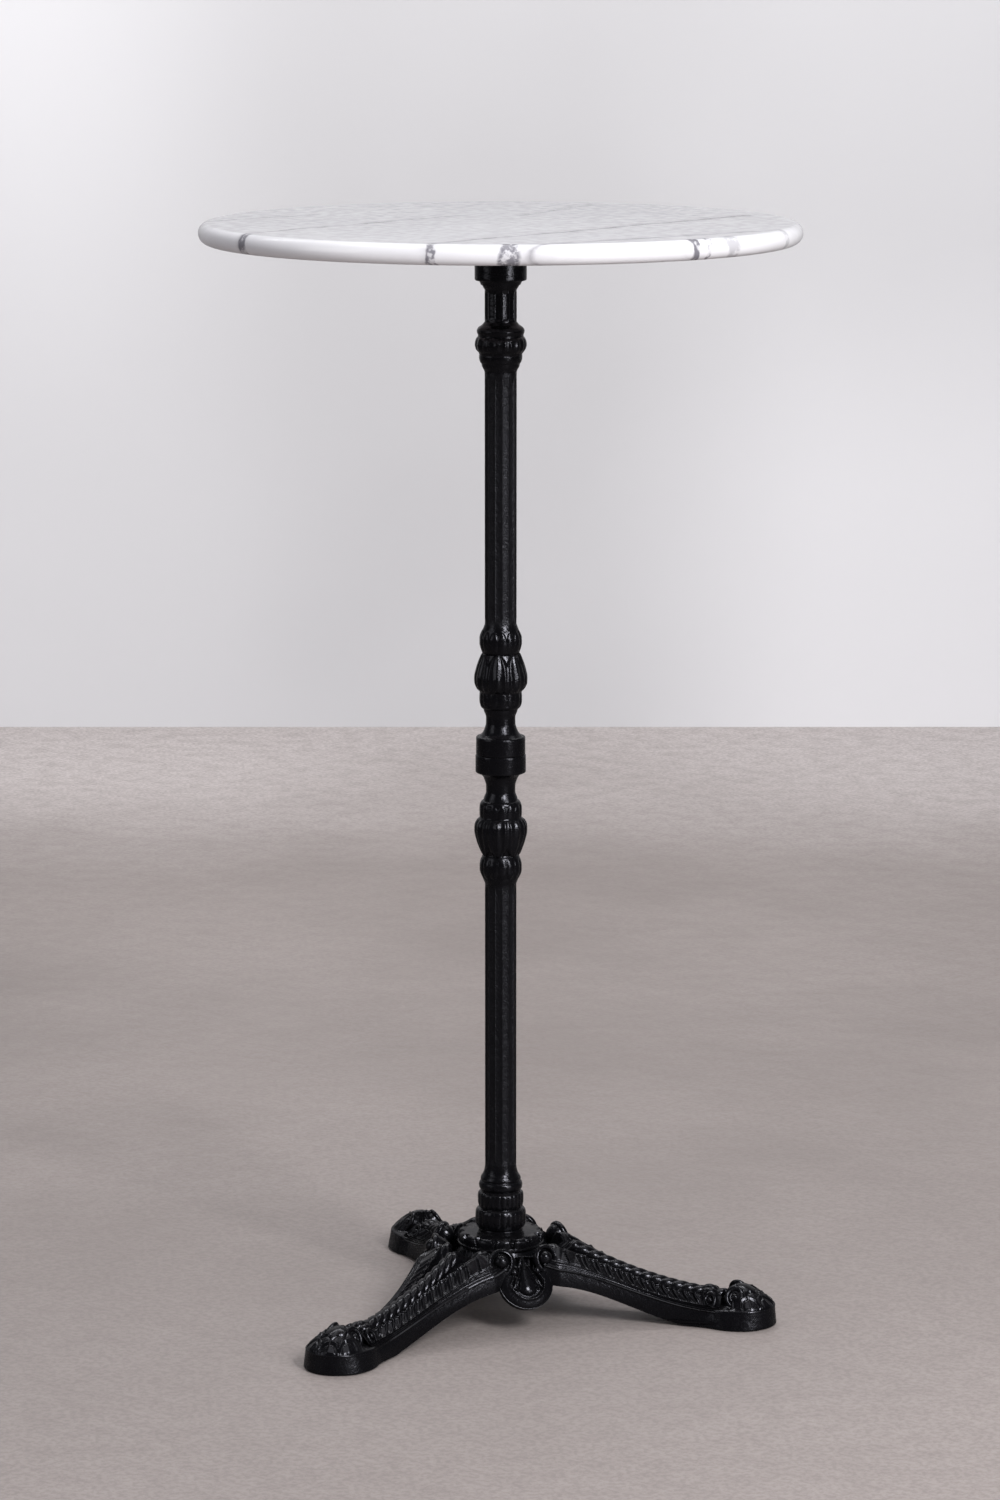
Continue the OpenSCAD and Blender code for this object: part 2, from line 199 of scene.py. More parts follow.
def turned(name, outline, steps):
    """An outline of (radius, height) points, drawn by extruding one point after another, then spun."""
    clear()
    bpy.ops.mesh.primitive_plane_add(size=MM)
    o = named(name)
    edit()
    bpy.ops.mesh.merge(type="CENTER")
    bpy.ops.transform.translate(value=(outline[0][0] * MM, 0, outline[0][1] * MM))
    for a, b in zip(outline, outline[1:] + outline[:1]):
        bpy.ops.mesh.extrude_vertices_move(
            TRANSFORM_OT_translate={"value": ((b[0] - a[0]) * MM, 0, (b[1] - a[1]) * MM)}
        )
    bpy.ops.mesh.select_all(action="SELECT")
    bpy.ops.mesh.spin(steps=steps, angle=2 * math.pi, center=(0, 0, 0), axis=(0, 0, 1))
    bpy.ops.object.mode_set(mode="OBJECT")
    return o


def carved(o, cut, inner):
    """Moves the points further out than inner along their radius by cut(angle in degrees, height)."""
    co = read(o)
    r = np.hypot(co[:, 0], co[:, 1])
    angle = np.degrees(np.arctan2(co[:, 1], co[:, 0]))
    grow = 1 + np.where(r > inner, cut(angle, co[:, 2]), 0) / np.maximum(r, 1)
    co[:, :2] *= grow[:, None]
    write(o, co)
    return o


def across(angle, count, turn):
    """Place across a repeated ornament: -1 and 1 at its edges, 0 in its middle. An edge lies at turn."""
    return ((angle - turn) * count / 360) % 1 * 2 - 1


FLUTES = 14
TURN = -32.6  # one valley between two flutes


def flutes(angle):
    """Hollow flutes between narrow round ridges."""
    t = np.abs(across(angle, FLUTES, TURN + 180 / FLUTES))
    return -0.8 * (1 - t ** 2.4) + 0.2 * step(t, 0.8, 1)


def petals(angle, s, depth, count=7, arch=0.5):
    """Arched leaves round a bulb: two outer ribs that meet in an arch where s nears 1, and a mid rib."""
    t = across(angle, count, TURN)
    late = np.clip((s - arch) / (0.98 - arch), 0, 1)
    wide = 0.9 * np.sqrt(np.clip(1 - late ** 2, 0.0004, 1))
    q = np.abs(t) / wide
    ribs = 0.55 * hump(q, 0.8, 0.17) + 0.75 * hump(q, 0, 0.24 + 0.2 * late) - 0.25
    return depth * np.where(q < 1.12, ribs, -0.75 * step(q, 1.12, 1.35) - 0.25)


def leaves(angle, s, depth, count=14):
    """A row of short round-ended leaves."""
    t = np.abs(across(angle, count, TURN))
    wide = np.sqrt(np.clip(1 - np.clip((s - 0.45) / 0.5, 0, 1) ** 2, 0.01, 1))
    return depth * (np.clip(1 - (t / wide) ** 2, 0, 1) ** 0.5 - 0.6)


# %% [markdown]
# ## Upper and lower column
# The two castings are the same vase mirrored about their joint: a flat joint disc, a waisted neck, a
# cup, a big petalled bulb and a ring, then a fluted shaft. The upper one ends in a capital under the
# spider, the lower one in two leafed bands on the collar. Both are hollow for the tie rod.

# %% Columns
JOINT = 583.5
VASE = [  # runs of (distance from the joint, radius)
    [(18.6, 22), (22, 18.5), (26.5, 16.3), (32, 14.9), (38, 14.8), (44.5, 16.9), (47.3, 17.5)],
    [(47.6, 18.8), (48.8, 19.9), (51.5, 20.9), (57, 21.3), (64, 21.1)],
    [(64.8, 21.6), (67.5, 23.8), (73, 26.1), (78.5, 26.3), (88.5, 24.3), (99, 20.7), (104, 18.6)],
    [(104.6, 18.9), (107.5, 19.8), (114, 21.1), (119, 21.1), (128, 18), (133, 16)],
]


def vase(distance, angle):
    """Ornament of a vase, by the distance from the joint."""
    d = np.abs(distance)
    out = np.zeros(len(d))
    for a, b, f in (
        (50, 64.5, lambda s: leaves(angle, 1 - s, 0.9)),
        (65.5, 104.5, lambda s: petals(angle, s, 1.7)),
        (106, 128, lambda s: leaves(angle, s, 1.0)),
    ):
        inside = (d > a) & (d < b)
        s = (d - a) / (b - a)
        edge = step(d, a, a + 2) * (1 - step(d, b - 2, b))
        out = np.where(inside, f(s) * edge, out)
    return out


def shaft(height, angle, low, high):
    return flutes(angle) * step(height, low, low + 3) * (1 - step(height, high - 3, high))


disc_up = [(0.05, 24), (0.5, 24.7), (1.2, 24.9), (17.4, 24.9), (18.1, 24.6), (18.5, 24)]
capital = [
    [(967, 16), (971, 16.2), (976.7, 18.8), (979.7, 19.4)],
    [(980.3, 20.3), (984, 21.5), (987.4, 21.7)],
    [(988.2, 21.3), (990.5, 22.6), (994, 24.8), (998.5, 25.5), (1003.6, 24.6), (1005.6, 23.4)],
    [(1006.2, 22.8), (1008.6, 22.8)],
    [(1009.2, 23.3), (1011.8, 23.9), (1014.6, 22.9), (1018, 18.6), (1021, 16)],
    [(1022, 16), (1052.6, 16)],
    [(1053.4, 16.3), (1055.4, 17.7), (1057.4, 18.6)],
    [(1057.7, 19.8), (1059.6, 20.6), (1061.8, 21.8)],
    [(1062.1, 24.9), (1062.8, 25.8), (1064, 26), (1078.6, 26), (1079.5, 25.7), (1079.95, 25)],
]
upper = [(r, JOINT + z) for r, z in softly(disc_up, 2)]
for run in VASE:
    upper += [(r, JOINT + z) for r, z in softly(run, 0.9)]
upper += softly([(JOINT + 136, 16), (JOINT + 139, 16), (963, 16), (966, 16)], 6)
for run in capital:
    upper += softly(run, 0.9)
upper += [(7, 1079.95), (7, JOINT + 0.05)]
upper_column = turned("column_upper_casting", upper, 224)


def upper_cut(angle, z):
    out = vase(z - JOINT, angle)
    out = np.where((z > JOINT + 134) & (z < 966.5), shaft(z, angle, JOINT + 135, 966), out)
    out = np.where((z > 1021.5) & (z < 1053), shaft(z, angle, 1022, 1052.4), out)
    bulge = (z > 989.5) & (z < 1005.8)
    return np.where(bulge, petals(angle, (1005.8 - z) / 16.3, 1.3, arch=0.7) * hump(z, 998, 8), out)


carved(upper_column, upper_cut, 10)
told(tidy_up(upper_column))

foot_bands = [
    [(156, 16), (153, 16.3), (147.5, 17.6), (143, 20.2), (141.2, 20.7), (139.6, 20.1)],
    [(139.2, 20.3), (137.6, 21.7), (134.5, 22.3), (131.4, 21.7), (129.8, 20.3)],
    [(129.4, 19.9), (128.2, 19.9)],
    [(128, 20.6), (126.6, 22.5), (123, 23.1), (116, 23.1), (112.4, 22.5), (111.4, 21.6)],
    [(111, 21.8), (109.8, 24.1), (105.6, 25.5), (96, 25.6), (91.5, 24.6), (89.6, 23)],
    [(89.3, 22.4), (88.4, 22.7), (87.05, 22.6)],
]
lower = [(7, 87.05), (7, JOINT - 0.05)]
lower += [(r, JOINT - z) for r, z in softly([(d, r + 0.6) for d, r in disc_up], 2)]
for run in VASE:
    lower += [(r, JOINT - z) for r, z in softly(run, 0.9)]
lower += softly([(JOINT - 136, 16), (JOINT - 139, 16), (160, 16), (157, 16)], 6)
for run in foot_bands:
    lower += softly(run, 0.9)
lower_column = turned("column_lower_casting", lower, 224)


def lower_cut(angle, z):
    out = vase(z - JOINT, angle)
    out = np.where((z > 156.5) & (z < JOINT - 134), shaft(z, angle, 157, JOINT - 135), out)
    out = np.where((z > 112) & (z < 130), leaves(angle, (130 - z) / 18, 1.1, 21) * hump(z, 121, 8), out)
    return np.where((z > 92) & (z < 110.5), leaves(angle, (110 - z) / 18, 1.2, 21) * hump(z, 101, 8), out)


carved(lower_column, lower_cut, 10)
told(tidy_up(lower_column))

# %% [markdown]
# ## Collar
# A shallow bell between the column and the tripod. Fourteen broad petals bend over its edge and are
# parted by dart-shaped notches with a raised lip, which stop just above a thin round rim.

# %% Collar
PETALS = 14
bell = [(6.5, 73.05)]
bell += [(43.9, 73.05), (44.4, 73.5), (44.5, 74.5), (44.3, 75.6), (43.4, 76.1)]
bell += [(43.2, 76.5 + k * 0.5) for k in range(10)]
turns = [math.radians(a) for a in range(6, 91, 6)]
bell += [(39.2 + 4.0 * math.cos(a), 81.5 + 4.4 * math.sin(a)) for a in turns]
bell += [(38.7 - k * 0.6, 85.9 + 0.9 * (k / 25)) for k in range(26)]
bell += [(22.6, 86.9), (6.5, 86.95)]
collar = turned("collar_casting", bell, 34 * PETALS)
co = read(collar)
radius = np.hypot(co[:, 0], co[:, 1])
side = np.abs(across(np.degrees(np.arctan2(co[:, 1], co[:, 0])), PETALS, TURN))
skin = (radius > 23.5) & (co[:, 2] > 76.2)
# distance along the petal from the collar's middle, over the edge and down to the rim
along = np.where(co[:, 2] > 81.5, np.minimum(radius, 39.2) - 39.2
                 + 4.2 * np.arctan2(np.maximum(radius - 39.2, 0), np.maximum(co[:, 2] - 81.5, 0.01)),
                 6.6 + (81.5 - co[:, 2]))
across_mm = (1 - side) * math.pi * radius / PETALS
half = np.clip(2.9 * np.clip((11.3 - along) / 8, 0, 1) * step(along, -2.5, 1.5), 0.001, 3)
notch = np.where(skin, 1 - step(across_mm, half * 0.55, half + 0.25), 0) * (half > 0.05)
lip = np.where(skin & (half > 0.05), hump(across_mm, half + 0.75, 0.5), 0)
belly = np.where(skin, (1 - side ** 2) * step(along, -6, 2), 0)
lean = np.clip(along / 6.6, 0, 1) * math.pi / 2
move = -2.9 * notch + 0.75 * lip + 0.7 * belly - 0.35
move = np.where(skin, move * step(along, -12, -2), 0)
co[:, 2] += move * np.cos(lean)
grow = 1 + move * np.sin(lean) / np.maximum(radius, 1)
co[:, :2] *= grow[:, None]
co[:, 2] = np.minimum(co[:, 2], 86.95)
write(collar, co)
told(tidy_up(collar, 45))

# %% [markdown]
# ## Marble disc
# A slab sawn round, with its edge ground to a full half round and polished like the top. Four blind
# holes underneath take the brass inserts that the spider screws into.

# %% Marble disc
stone = rod(299.9, 20, 256, (0, 0, 1110))
named("marble_disc")
edit("DESELECT")
bpy.ops.mesh.select_mode(type="EDGE")
bpy.ops.object.mode_set(mode="OBJECT")
for e in stone.data.edges:
    a, b = (stone.data.vertices[i].co for i in e.vertices)
    e.select = abs(a.z - b.z) < 1e-6
bpy.ops.object.mode_set(mode="EDIT")
bpy.ops.mesh.bevel(offset=9.9 * MM, segments=12, profile=0.5, affect="EDGES")
bpy.ops.mesh.select_mode(type="VERT")
bpy.ops.mesh.select_all(action="SELECT")
bpy.ops.mesh.normals_make_consistent(inside=False)
bpy.ops.object.mode_set(mode="OBJECT")
for k in range(4):
    a = math.radians(45 + 90 * k)
    drill = rod(5.1, 26, 48, (115 * math.cos(a), 115 * math.sin(a), 1099.2))
    only(stone)
    hole = stone.modifiers.new("hole", "BOOLEAN")
    hole.object, hole.operation, hole.solver = drill, "DIFFERENCE", "EXACT"
    bpy.ops.object.modifier_apply(modifier="hole")
    bpy.data.objects.remove(drill)
told(tidy_up(stone, 30))

# %% [markdown]
# ## Legs
# Each leg is a hollow casting with a rope laid along its back, a leafed border down each flank and a
# plain skirt. A grid is wrapped round the leg's section as a caster would lay a wax sheet, its corners
# carried along five guide lines, and rope strands, leaves and mouldings are raised on it by rule.

# %% Leg guide lines and relief
FOOT = 1.0  # the feet's plane stands this high, on the pads


def guide(c, r):
    """Height or offset at distance r, by the four control values of a Bezier line."""
    u = (r - 40) / 195
    v = 1 - u
    return v ** 3 * c[0] + 3 * u * v * v * c[1] + 3 * u * u * v * c[2] + u ** 3 * c[3]


ROPE_R, LEG_FROM, LEG_TO = 7.5, 45.5, 231.0
PARTS = (0.17, 0.27, 0.80)  # ends of rope, valley and leaf slope round half a section


def mix(a, b, t):
    return a + (b - a) * t


def leaf_relief(r, a):
    """Height of the border's relief: a across the slope from the crest (0) to the skirt (1)."""
    x = np.clip((r - 9.0 * np.clip(a / 0.66, 0, 1.1) ** 1.3 - 56) / 149, 0, 1)
    place_ = 13 * x ** 1.07
    index = np.floor(place_)
    t = (place_ - index) * 2 - 1
    # a hooked leaf: a round rib on its outer side, an arched lip at the crest, a scoop between them
    taper = np.clip(1 - (a / 0.7) ** 3, 0, 1) ** 0.7
    rib = 2.7 * hump(t, 0.5 - 0.25 * a, 0.34) * taper
    lip = 1.7 * hump(a, 0.02 + 0.11 * (t - 0.1) ** 2, 0.045)
    scoop = 1.5 * np.clip(1 - ((t + 0.35) / 0.6) ** 2, 0, 1) * np.clip(1 - ((a - 0.34) / 0.3) ** 2, 0, 1)
    leaf = rib + lip - scoop
    # the first two, next to the scroll, are plain plates with a raised edge
    plate = np.clip((0.92 - np.abs(t)) / 0.1, 0, 1) * step(a, 0.06, 0.1) * (1 - step(a, 0.6, 0.64))
    plate = 1.5 * plate + 0.8 * hump(np.abs(t), 0.84, 0.06) * plate
    leaf = np.where(index < 2, plate, leaf)
    leaf = leaf * step(r, 55, 58) * (1 - step(r, 206, 210))
    lines = sum(1.8 * hump(a, c, 0.026) for c in (0.735, 0.83, 0.965)) * step(r, 50, 54)
    hook = 2.6 * hump(r - 10 * a, 211, 1.8) * (1 - step(a, 0.7, 0.8))
    hook -= 2.2 * hump(r - 10 * a, 218, 4.0) * (a < 0.8)
    return leaf + lines + hook + 0.7 * hump(a, 0.0, 0.05)


def crest_wave(r):
    x = np.clip((r - 56) / 149, 0, 1)
    return 0.9 * np.abs(np.sin(math.pi * 13 * x ** 1.07)) ** 0.8 * step(r, 56, 60) * (1 - step(r, 204, 208))


def rope_relief(r, phi):
    """Twisted strands; phi is the angle from the rope's top, positive to the left."""
    strand = np.abs(np.sin(math.pi * (r - 5.6 * phi - 66) / 10.7)) ** 0.55
    begin = step(r - 5.6 * phi, 64, 70)
    return (1.75 * strand - 1.0) * begin + 0.35 * (1 - begin)


def leg_surface(u, v):
    """u along the leg, v once round its section, from one lower edge over the back to the other and under."""
    outer = v < 0.86
    s = np.where(outer, v / 0.43 - 1, 0)
    side_ = np.sign(s) + (s == 0)
    a = np.abs(s)
    t2 = np.clip((a - PARTS[1]) / (PARTS[2] - PARTS[1]), 0, 1)
    start = LEG_FROM + 9.0 * np.where(outer, t2, step(np.abs(2 * (v - 0.86) / 0.14 - 1), 0.2, 0.9))
    r = start + u * (LEG_TO - start)
    zr = guide((98, 60, 38, 33), r)
    ob = np.maximum(guide((37, 2, 4, 12), r), ROPE_R + 1)
    # the crest dips under the collar's rim at the root
    zb = guide((87, 62, 20, 32), r) + crest_wave(r)
    zb -= 8.5 * (1 - step(r, 47, 68)) + 6 * (1 - step(r, 45.5, 50))
    os_ = guide((67, 28, 16, 27), r) - 6 * (1 - step(r, 54, 72)) + 2.0 * step(r, 214, 232)
    zs = np.minimum(guide((69, 57, 12, 17), r) - 1.5 * (1 - step(r, 60, 90)), zb - 4)
    zu = np.maximum(guide((43, 54, -18, 4), r), 1)
    # rope, which rises out of a deep hollow beside the collar
    root = 1 - step(r, 54, 80)
    phi = np.minimum(a / PARTS[0], 1) * 2.0
    rr = ROPE_R + rope_relief(r, phi * side_) * (1 - root)
    floor_ = np.minimum(zb - 16, 66.0)
    inner_o = np.maximum(ob - 13, 2)
    o_rope = mix(rr * np.sin(phi), inner_o * phi / 2.0, root)
    z_rope = mix(zr - ROPE_R + rr * np.cos(phi), floor_ + 9 * hump(phi, 0.0, 0.10), root)
    # valley between rope and crest
    t = np.clip((a - PARTS[0]) / (PARTS[1] - PARTS[0]), 0, 1)
    end_o, end_z = ROPE_R * math.sin(2.0), zr - ROPE_R + ROPE_R * math.cos(2.0)
    reach = np.maximum(ob - end_o, 1)
    dip = np.minimum(2 + reach * 0.6, 13)
    o_val = mix(mix(end_o, ob, t), mix(inner_o, ob, t), root)
    z_val = mix(end_z, zb, t ** 1.6) - dip * np.sin(math.pi * t) ** 0.7
    z_val = np.minimum(z_val, mix(zr, zb, t))
    # at the root a smooth round arm lies against the inside of each border
    arm = mix(floor_, zb, step(t, 0.0, 0.42)) + 4.0 * np.sin(math.pi * np.clip((t - 0.2) / 0.8, 0, 1)) ** 0.8
    arm = mix(np.minimum(floor_, zb - 6), arm, np.sqrt(np.clip((r - 45.5) / 9, 0, 1)))
    z_val = mix(z_val, arm, root)
    # leafed slope, raised at right angles to itself
    do, dz = os_ - ob, zs - zb
    length = np.hypot(do, dz)
    lift = leaf_relief(r, t2) * (0.25 + 0.75 * step(t2, 0.0, 0.09))
    o_slope = mix(ob, os_, t2) - lift * dz / length
    z_slope = mix(zb, zs, t2) + lift * do / length
    # skirt
    t3 = np.clip((a - PARTS[2]) / (1 - PARTS[2]), 0, 1)
    o_skirt = os_ + 0.9 * np.sin(math.pi * t3) + 1.8 * hump(t3, 0, 0.05)
    o_skirt += (1.2 + 3.4 * step(r, 172, 224)) * t3
    z_skirt = mix(zs, zu, t3)
    part = [a <= end for end in PARTS]
    o = np.select(part, [o_rope, o_val, o_slope], o_skirt) * side_
    z = np.select(part, [z_rope, z_val, z_slope], z_skirt)
    # hollow underside, back from the left edge to the right one
    w = np.clip((v - 0.86) / 0.14, 0, 1)
    m = np.abs(2 * w - 1)  # 1 at the edges, 0 in the middle
    wall_in = np.maximum(os_ - 5, 3)
    open_ = step(r, 66, 72)
    roof = mix(zu + 0.6, np.maximum(zs - 7, zu + 0.6), open_)
    crown = mix(zu + 0.6, np.maximum(zb - 12, roof), open_)
    near = [m > 0.9, m > 0.45]
    o_in = np.select(near, [mix(wall_in, os_ + 1.2, (m - 0.9) / 0.1), wall_in], wall_in * m / 0.45)
    z_in = np.select(near, [zu, mix(roof, zu, (m - 0.45) / 0.45)], mix(crown, roof, m / 0.45))
    o = np.where(outer, o, o_in * np.where(w < 0.5, 1, -1))
    z = np.where(outer, z, z_in)
    return r, o, z + FOOT


# %% One leg, laid along X
def sheet_of(name, along_, round_, surface):
    """A grid primitive carried onto a surface given by its two shares u and v."""
    clear()
    bpy.ops.mesh.primitive_grid_add(x_subdivisions=along_, y_subdivisions=round_, size=MM)
    o = named(name)
    co = read(o)
    x, y, z = surface(co[:, 0] + 0.5, co[:, 1] + 0.5)
    write(o, np.stack([x, y, z], 1))
    return o


def closed(o):
    """Welds a tube-like skin along its seam and closes its open ends."""
    only(o)
    edit()
    bpy.ops.mesh.remove_doubles(threshold=0.004 * MM)
    bpy.ops.mesh.select_all(action="DESELECT")
    bpy.ops.mesh.select_mode(type="EDGE")
    bpy.ops.mesh.select_non_manifold()
    bpy.ops.mesh.fill()
    bpy.ops.mesh.select_mode(type="VERT")
    bpy.ops.object.mode_set(mode="OBJECT")


leg = sheet_of("leg", 312, 304, leg_surface)
closed(leg)
told(tidy_up(leg, 50))

# %% [markdown]
# ## Feet
# A lion's paw on a low round plinth: a ribbed dome, five toes fanned to the tip with nested arcs for
# knuckle and claw, a curl on each side, and a knot of leaves where the rope ends.

# %% One foot, turned and then carved
FX, PLINTH = 254.6, 18.6
paw = [(0, 2), (20.3, 2), (20.3, 0.02), (30.8, 0.02), (31.3, 0.7)]
paw += [(31.25 - 0.09 * k, 1.5 + k) for k in range(17)]
paw += [(30.0, PLINTH - 0.4), (30.2, PLINTH + 0.2), (29.9, PLINTH + 0.9), (29.2, PLINTH + 1.0)]
paw += [(28.8 - 0.45 * k, PLINTH + 0.9) for k in range(64)] + [(0, PLINTH + 0.9)]
foot = turned("foot", paw, 280)
co = read(foot)
x, y, z = co.T
rho = np.hypot(x, y)
middle = -6.0  # middle of the dome, a little towards the leg
dx, dy = x - middle, y
psi = np.degrees(np.arctan2(dy, dx))
dist = np.hypot(dx, dy)
shift = middle * np.cos(np.radians(psi))
# from the dome's middle to the plinth's rim
reach = -shift + np.sqrt(np.maximum(shift * shift - middle * middle + 29.0 ** 2, 1))
share = np.clip(dist / reach, 0, 1)
dome = 21.0 * np.sin(math.pi / 2 * np.clip(1 - share, 0, 1) ** 1.08)
climb = (1 - share) * reach  # distance up the dome from the plinth's rim
front = 1 - step(np.abs(psi), 112, 124)
scales = np.zeros(len(x))
for tall, raise_by, wide, turns in (
    (9.0, 0.2, 10.6, (-80, -40, 0, 40, 80)),
    (1.0, 0.9, 11.4, (-60, -20, 20, 60)),
):
    for heading in turns:
        turned_by = (psi - heading + 180) % 360 - 180
        sideways = np.radians(turned_by) * np.maximum(dist, 8)
        from_centre = np.hypot(sideways, np.maximum(climb - tall, 0)) / wide
        on = (from_centre < 1) & (np.abs(turned_by) < 70) & (climb < tall + wide)
        shape = raise_by + 1.3 * np.maximum(1 - from_centre ** 2, 0) ** 0.5 + 0.5 * hump(sideways, 0, 1.2)
        shape += 1.0 * hump(from_centre, 0.9, 0.07) - 0.9 * hump(from_centre, 0.7, 0.09)
        scales = np.where(on, shape, scales)
scales *= front * step(1 - share, 0.0, 0.03)
back = step(np.abs(psi), 98, 116)
ribs = 1.2 * np.cos(np.radians((180 - np.abs(psi)) * 360 / 17)) * back
ribs *= step(share, 0.1, 0.25) * (1 - step(share, 0.6, 0.7))
behind = 180 - np.abs(psi)
ogee = 0.62 + 0.10 * np.clip(behind / 45, 0, 1) - 0.07 * hump(behind, 0, 9)
niche = back * step(share, ogee, ogee + 0.06)
lip = back * hump(share, ogee - 0.01, 0.035) * 1.6
top = (rho < 29.3) & (z > PLINTH + 0.5)
z_new = PLINTH + 0.6 + mix(dome + scales + ribs + lip, np.minimum(dome, 6.0), niche)
co[:, 2] = np.where(top, np.maximum(z_new, PLINTH - 0.5), z)
# towards the leg the plinth runs out long and wide and takes the leg's end in
outside_recess = step(np.hypot(co[:, 0], co[:, 1]), 21.5, 27)
low = (1 - step(co[:, 2], 17.5, 21.0)) * outside_recess
flare = 0.45 + 0.55 * (1 - np.clip((co[:, 2] - 1) / 18, 0, 1))
heading = np.arctan2(co[:, 1], co[:, 0])
power = 2 + 2.6 * low
square = (np.abs(np.cos(heading)) ** power + np.abs(np.sin(heading)) ** power) ** (-1 / power)
leg_side = co[:, 0] < 0
co[:, 1] *= np.where(leg_side, square, 1)
co[:, 0] *= np.where(leg_side, square * (1 + 0.2 * low), 1)
co[:, 1] *= 1 + 0.15 * hump(co[:, 0], -8, 26) * low * flare
write(foot, co)
tidy_up(foot, 50)


def spiral_bits(side_):
    """The curl beside the dome: two rings, one inside the other, a ball in their middle, and its stem."""
    tilt = pose((-9.5, side_ * 15.6, 29.5), (-side_ * 8, "Z"), (side_ * -62, "X"))
    made = []
    for big, small, tall in ((8.0, 2.2, 1.25), (4.6, 1.4, 1.2)):
        made.append(ring(big, small, 72, 18))
        made[-1].data.transform(tilt @ Matrix.Scale(tall, 4, (0, 1, 0)))
    made.append(ball(4.1, 40))
    made[-1].data.transform(tilt @ pose((0, 0, 0.4)))
    made.append(rod(8.0, 13, 64))
    made[-1].data.transform(tilt @ Matrix.Scale(1.25, 4, (0, 1, 0)) @ pose((0, 0, -6.8)))
    return made


def leaf_ball(x_, z_, radius_, lobes, squash):
    """A ball of leaves: a sphere with ribs running over it along the leg."""
    clear()
    bpy.ops.mesh.primitive_uv_sphere_add(segments=lobes * 12, ring_count=36, radius=radius_ * MM,
                                         rotation=(0, math.pi / 2, 0))
    o = bpy.context.object
    seated(o)
    c = read(o)
    a = np.arctan2(c[:, 1], c[:, 2])
    grow = 1 + 0.13 * np.abs(np.cos(a * lobes / 2)) ** 0.7 - 0.07
    c[:, 1] *= grow * squash
    c[:, 2] *= grow
    c += (x_, 0, z_)
    write(o, c)
    return o


def hook_bits(side_):
    """A small curled leaf between the knot and the paw, with a bead in it."""
    stand = pose((-35.0, side_ * 16.0, 25.5), (side_ * 6, "Z"), (side_ * -58, "X"))
    curl, bead = ring(5.2, 1.9, 56, 14), ball(3.0, 32)
    curl.data.transform(stand @ Matrix.Scale(1.35, 4, (0, 1, 0)))
    bead.data.transform(stand)
    return [curl, bead]


bits = spiral_bits(1) + spiral_bits(-1) + hook_bits(1) + hook_bits(-1)
bits += [leaf_ball(-37.5, 26.0, 11.5, 8, 1.1), ball(4, 40, (-21.5, 0, 30.5))]
joined(foot, *bits)
foot.data.transform(pose((FX, 0, FOOT)))
told(tidy_up(foot, 50))

# %% [markdown]
# ## Middle of the base
# A round hub carries the collar. Between two legs a shell leans back on it, and where a leg's border
# meets the shell a small scroll arches round a ball.

# %% Hub, shells and scrolls
SX, SZ, LEAN = 77.5, 51.0, 34.0


def shell_piece():
    """A leaning oval shell: a swelling border round an inset palm of leaves. Made flat, then leaned."""
    flat = [(0, -16)] + [(24.5 * k / 6, -16) for k in range(1, 7)]
    flat += [(27.7 + 1.0 * math.sin(math.radians(a)), -9 + 6 * (a / 90)) for a in range(-60, 91, 15)]
    flat += [(28.4 - 0.5 * k, 0) for k in range(57)] + [(0, 0)]
    o = turned("shell", flat, 220)
    c = read(o)
    p, q, h = c[:, 1].copy(), c[:, 0].copy(), c[:, 2].copy()  # across and up the shell
    d = np.hypot(p, q)
    # the inset is round below and runs up to a point
    inset = 17.6 - np.clip(q + 2, 0, 40) * 0.5
    e = np.where(q < -2, np.hypot(p, q + 2), np.abs(p))  # distance from the inset's middle line
    border = 7.0 * np.clip(1 - ((d - 13) / 15.6) ** 2, 0, 1) ** 0.5 - 4.6
    # above the palm the border sinks into a fan of flutes
    over = step(q, 7, 13)
    fan = -3.5 + 1.3 * np.cos(np.arctan2(p, q + 24) * 34) - 0.25 * np.clip(q - 12, 0, 20)
    border = mix(border, fan, over)
    rim_line = 1.5 * hump(e, inset + 0.4, 1.3) * (1 - step(q, 8, 15))
    inside = 1 - step(e, inset - 2.6, inset)
    petal_w = np.clip(10.8 * np.clip((20 - q) / 31, 0, 1) ** 0.7, 0.4, 12)
    petal_w = np.where(q < -7, 9.8 * np.sqrt(np.clip(1 - ((q + 7) / 8.0) ** 2, 0.001, 1)), petal_w)
    petal = 5.0 * (np.clip(1 - (p / petal_w) ** 2, 0, 1) * np.clip(petal_w / 10, 0, 1)) ** 0.6 * (q > -16)
    blade = 2.4 * hump(np.abs(p), petal_w + 1.9, 0.9) * step(q, -11, -7) * (1 - step(q, 14, 19))
    horn = 3.0 * np.clip(1 - (((np.abs(p) - 13.4 + np.clip(q + 4, -6, 14) * 0.42) / 2.3) ** 2
                              + ((q + 1.5) / 8.0) ** 2), 0, 1) ** 0.5
    palm = -1.8 + np.maximum(petal, np.maximum(blade, horn))
    relief = border * (1 - inside) + palm * inside + rim_line
    face = (h > -0.5) & (d < 28.45)
    c[:, 2] = np.where(face, mix(relief, -3.0, step(d, 27.6, 28.4)), h)
    c[:, 0], c[:, 1] = q * 0.98, p
    write(o, c)
    beads = [ball(3.5, 36, (9.5, s * 12.4, 2.6)) for s in (1, -1)]
    clear()  # pointed spike above the palm
    bpy.ops.mesh.primitive_cone_add(vertices=4, radius1=2.3 * MM, radius2=0.3 * MM, depth=12 * MM)
    spike = bpy.context.object
    spike.data.transform(pose((19, 0, 1.5), (80, "Y")))
    joined(o, *beads, spike)
    # x is up the shell and z its outward face: stand it up, lean it back, set it at its distance
    o.data.transform(pose((SX, 0, SZ + FOOT), (90 - LEAN, "Y"), (180, "Z")))
    return o


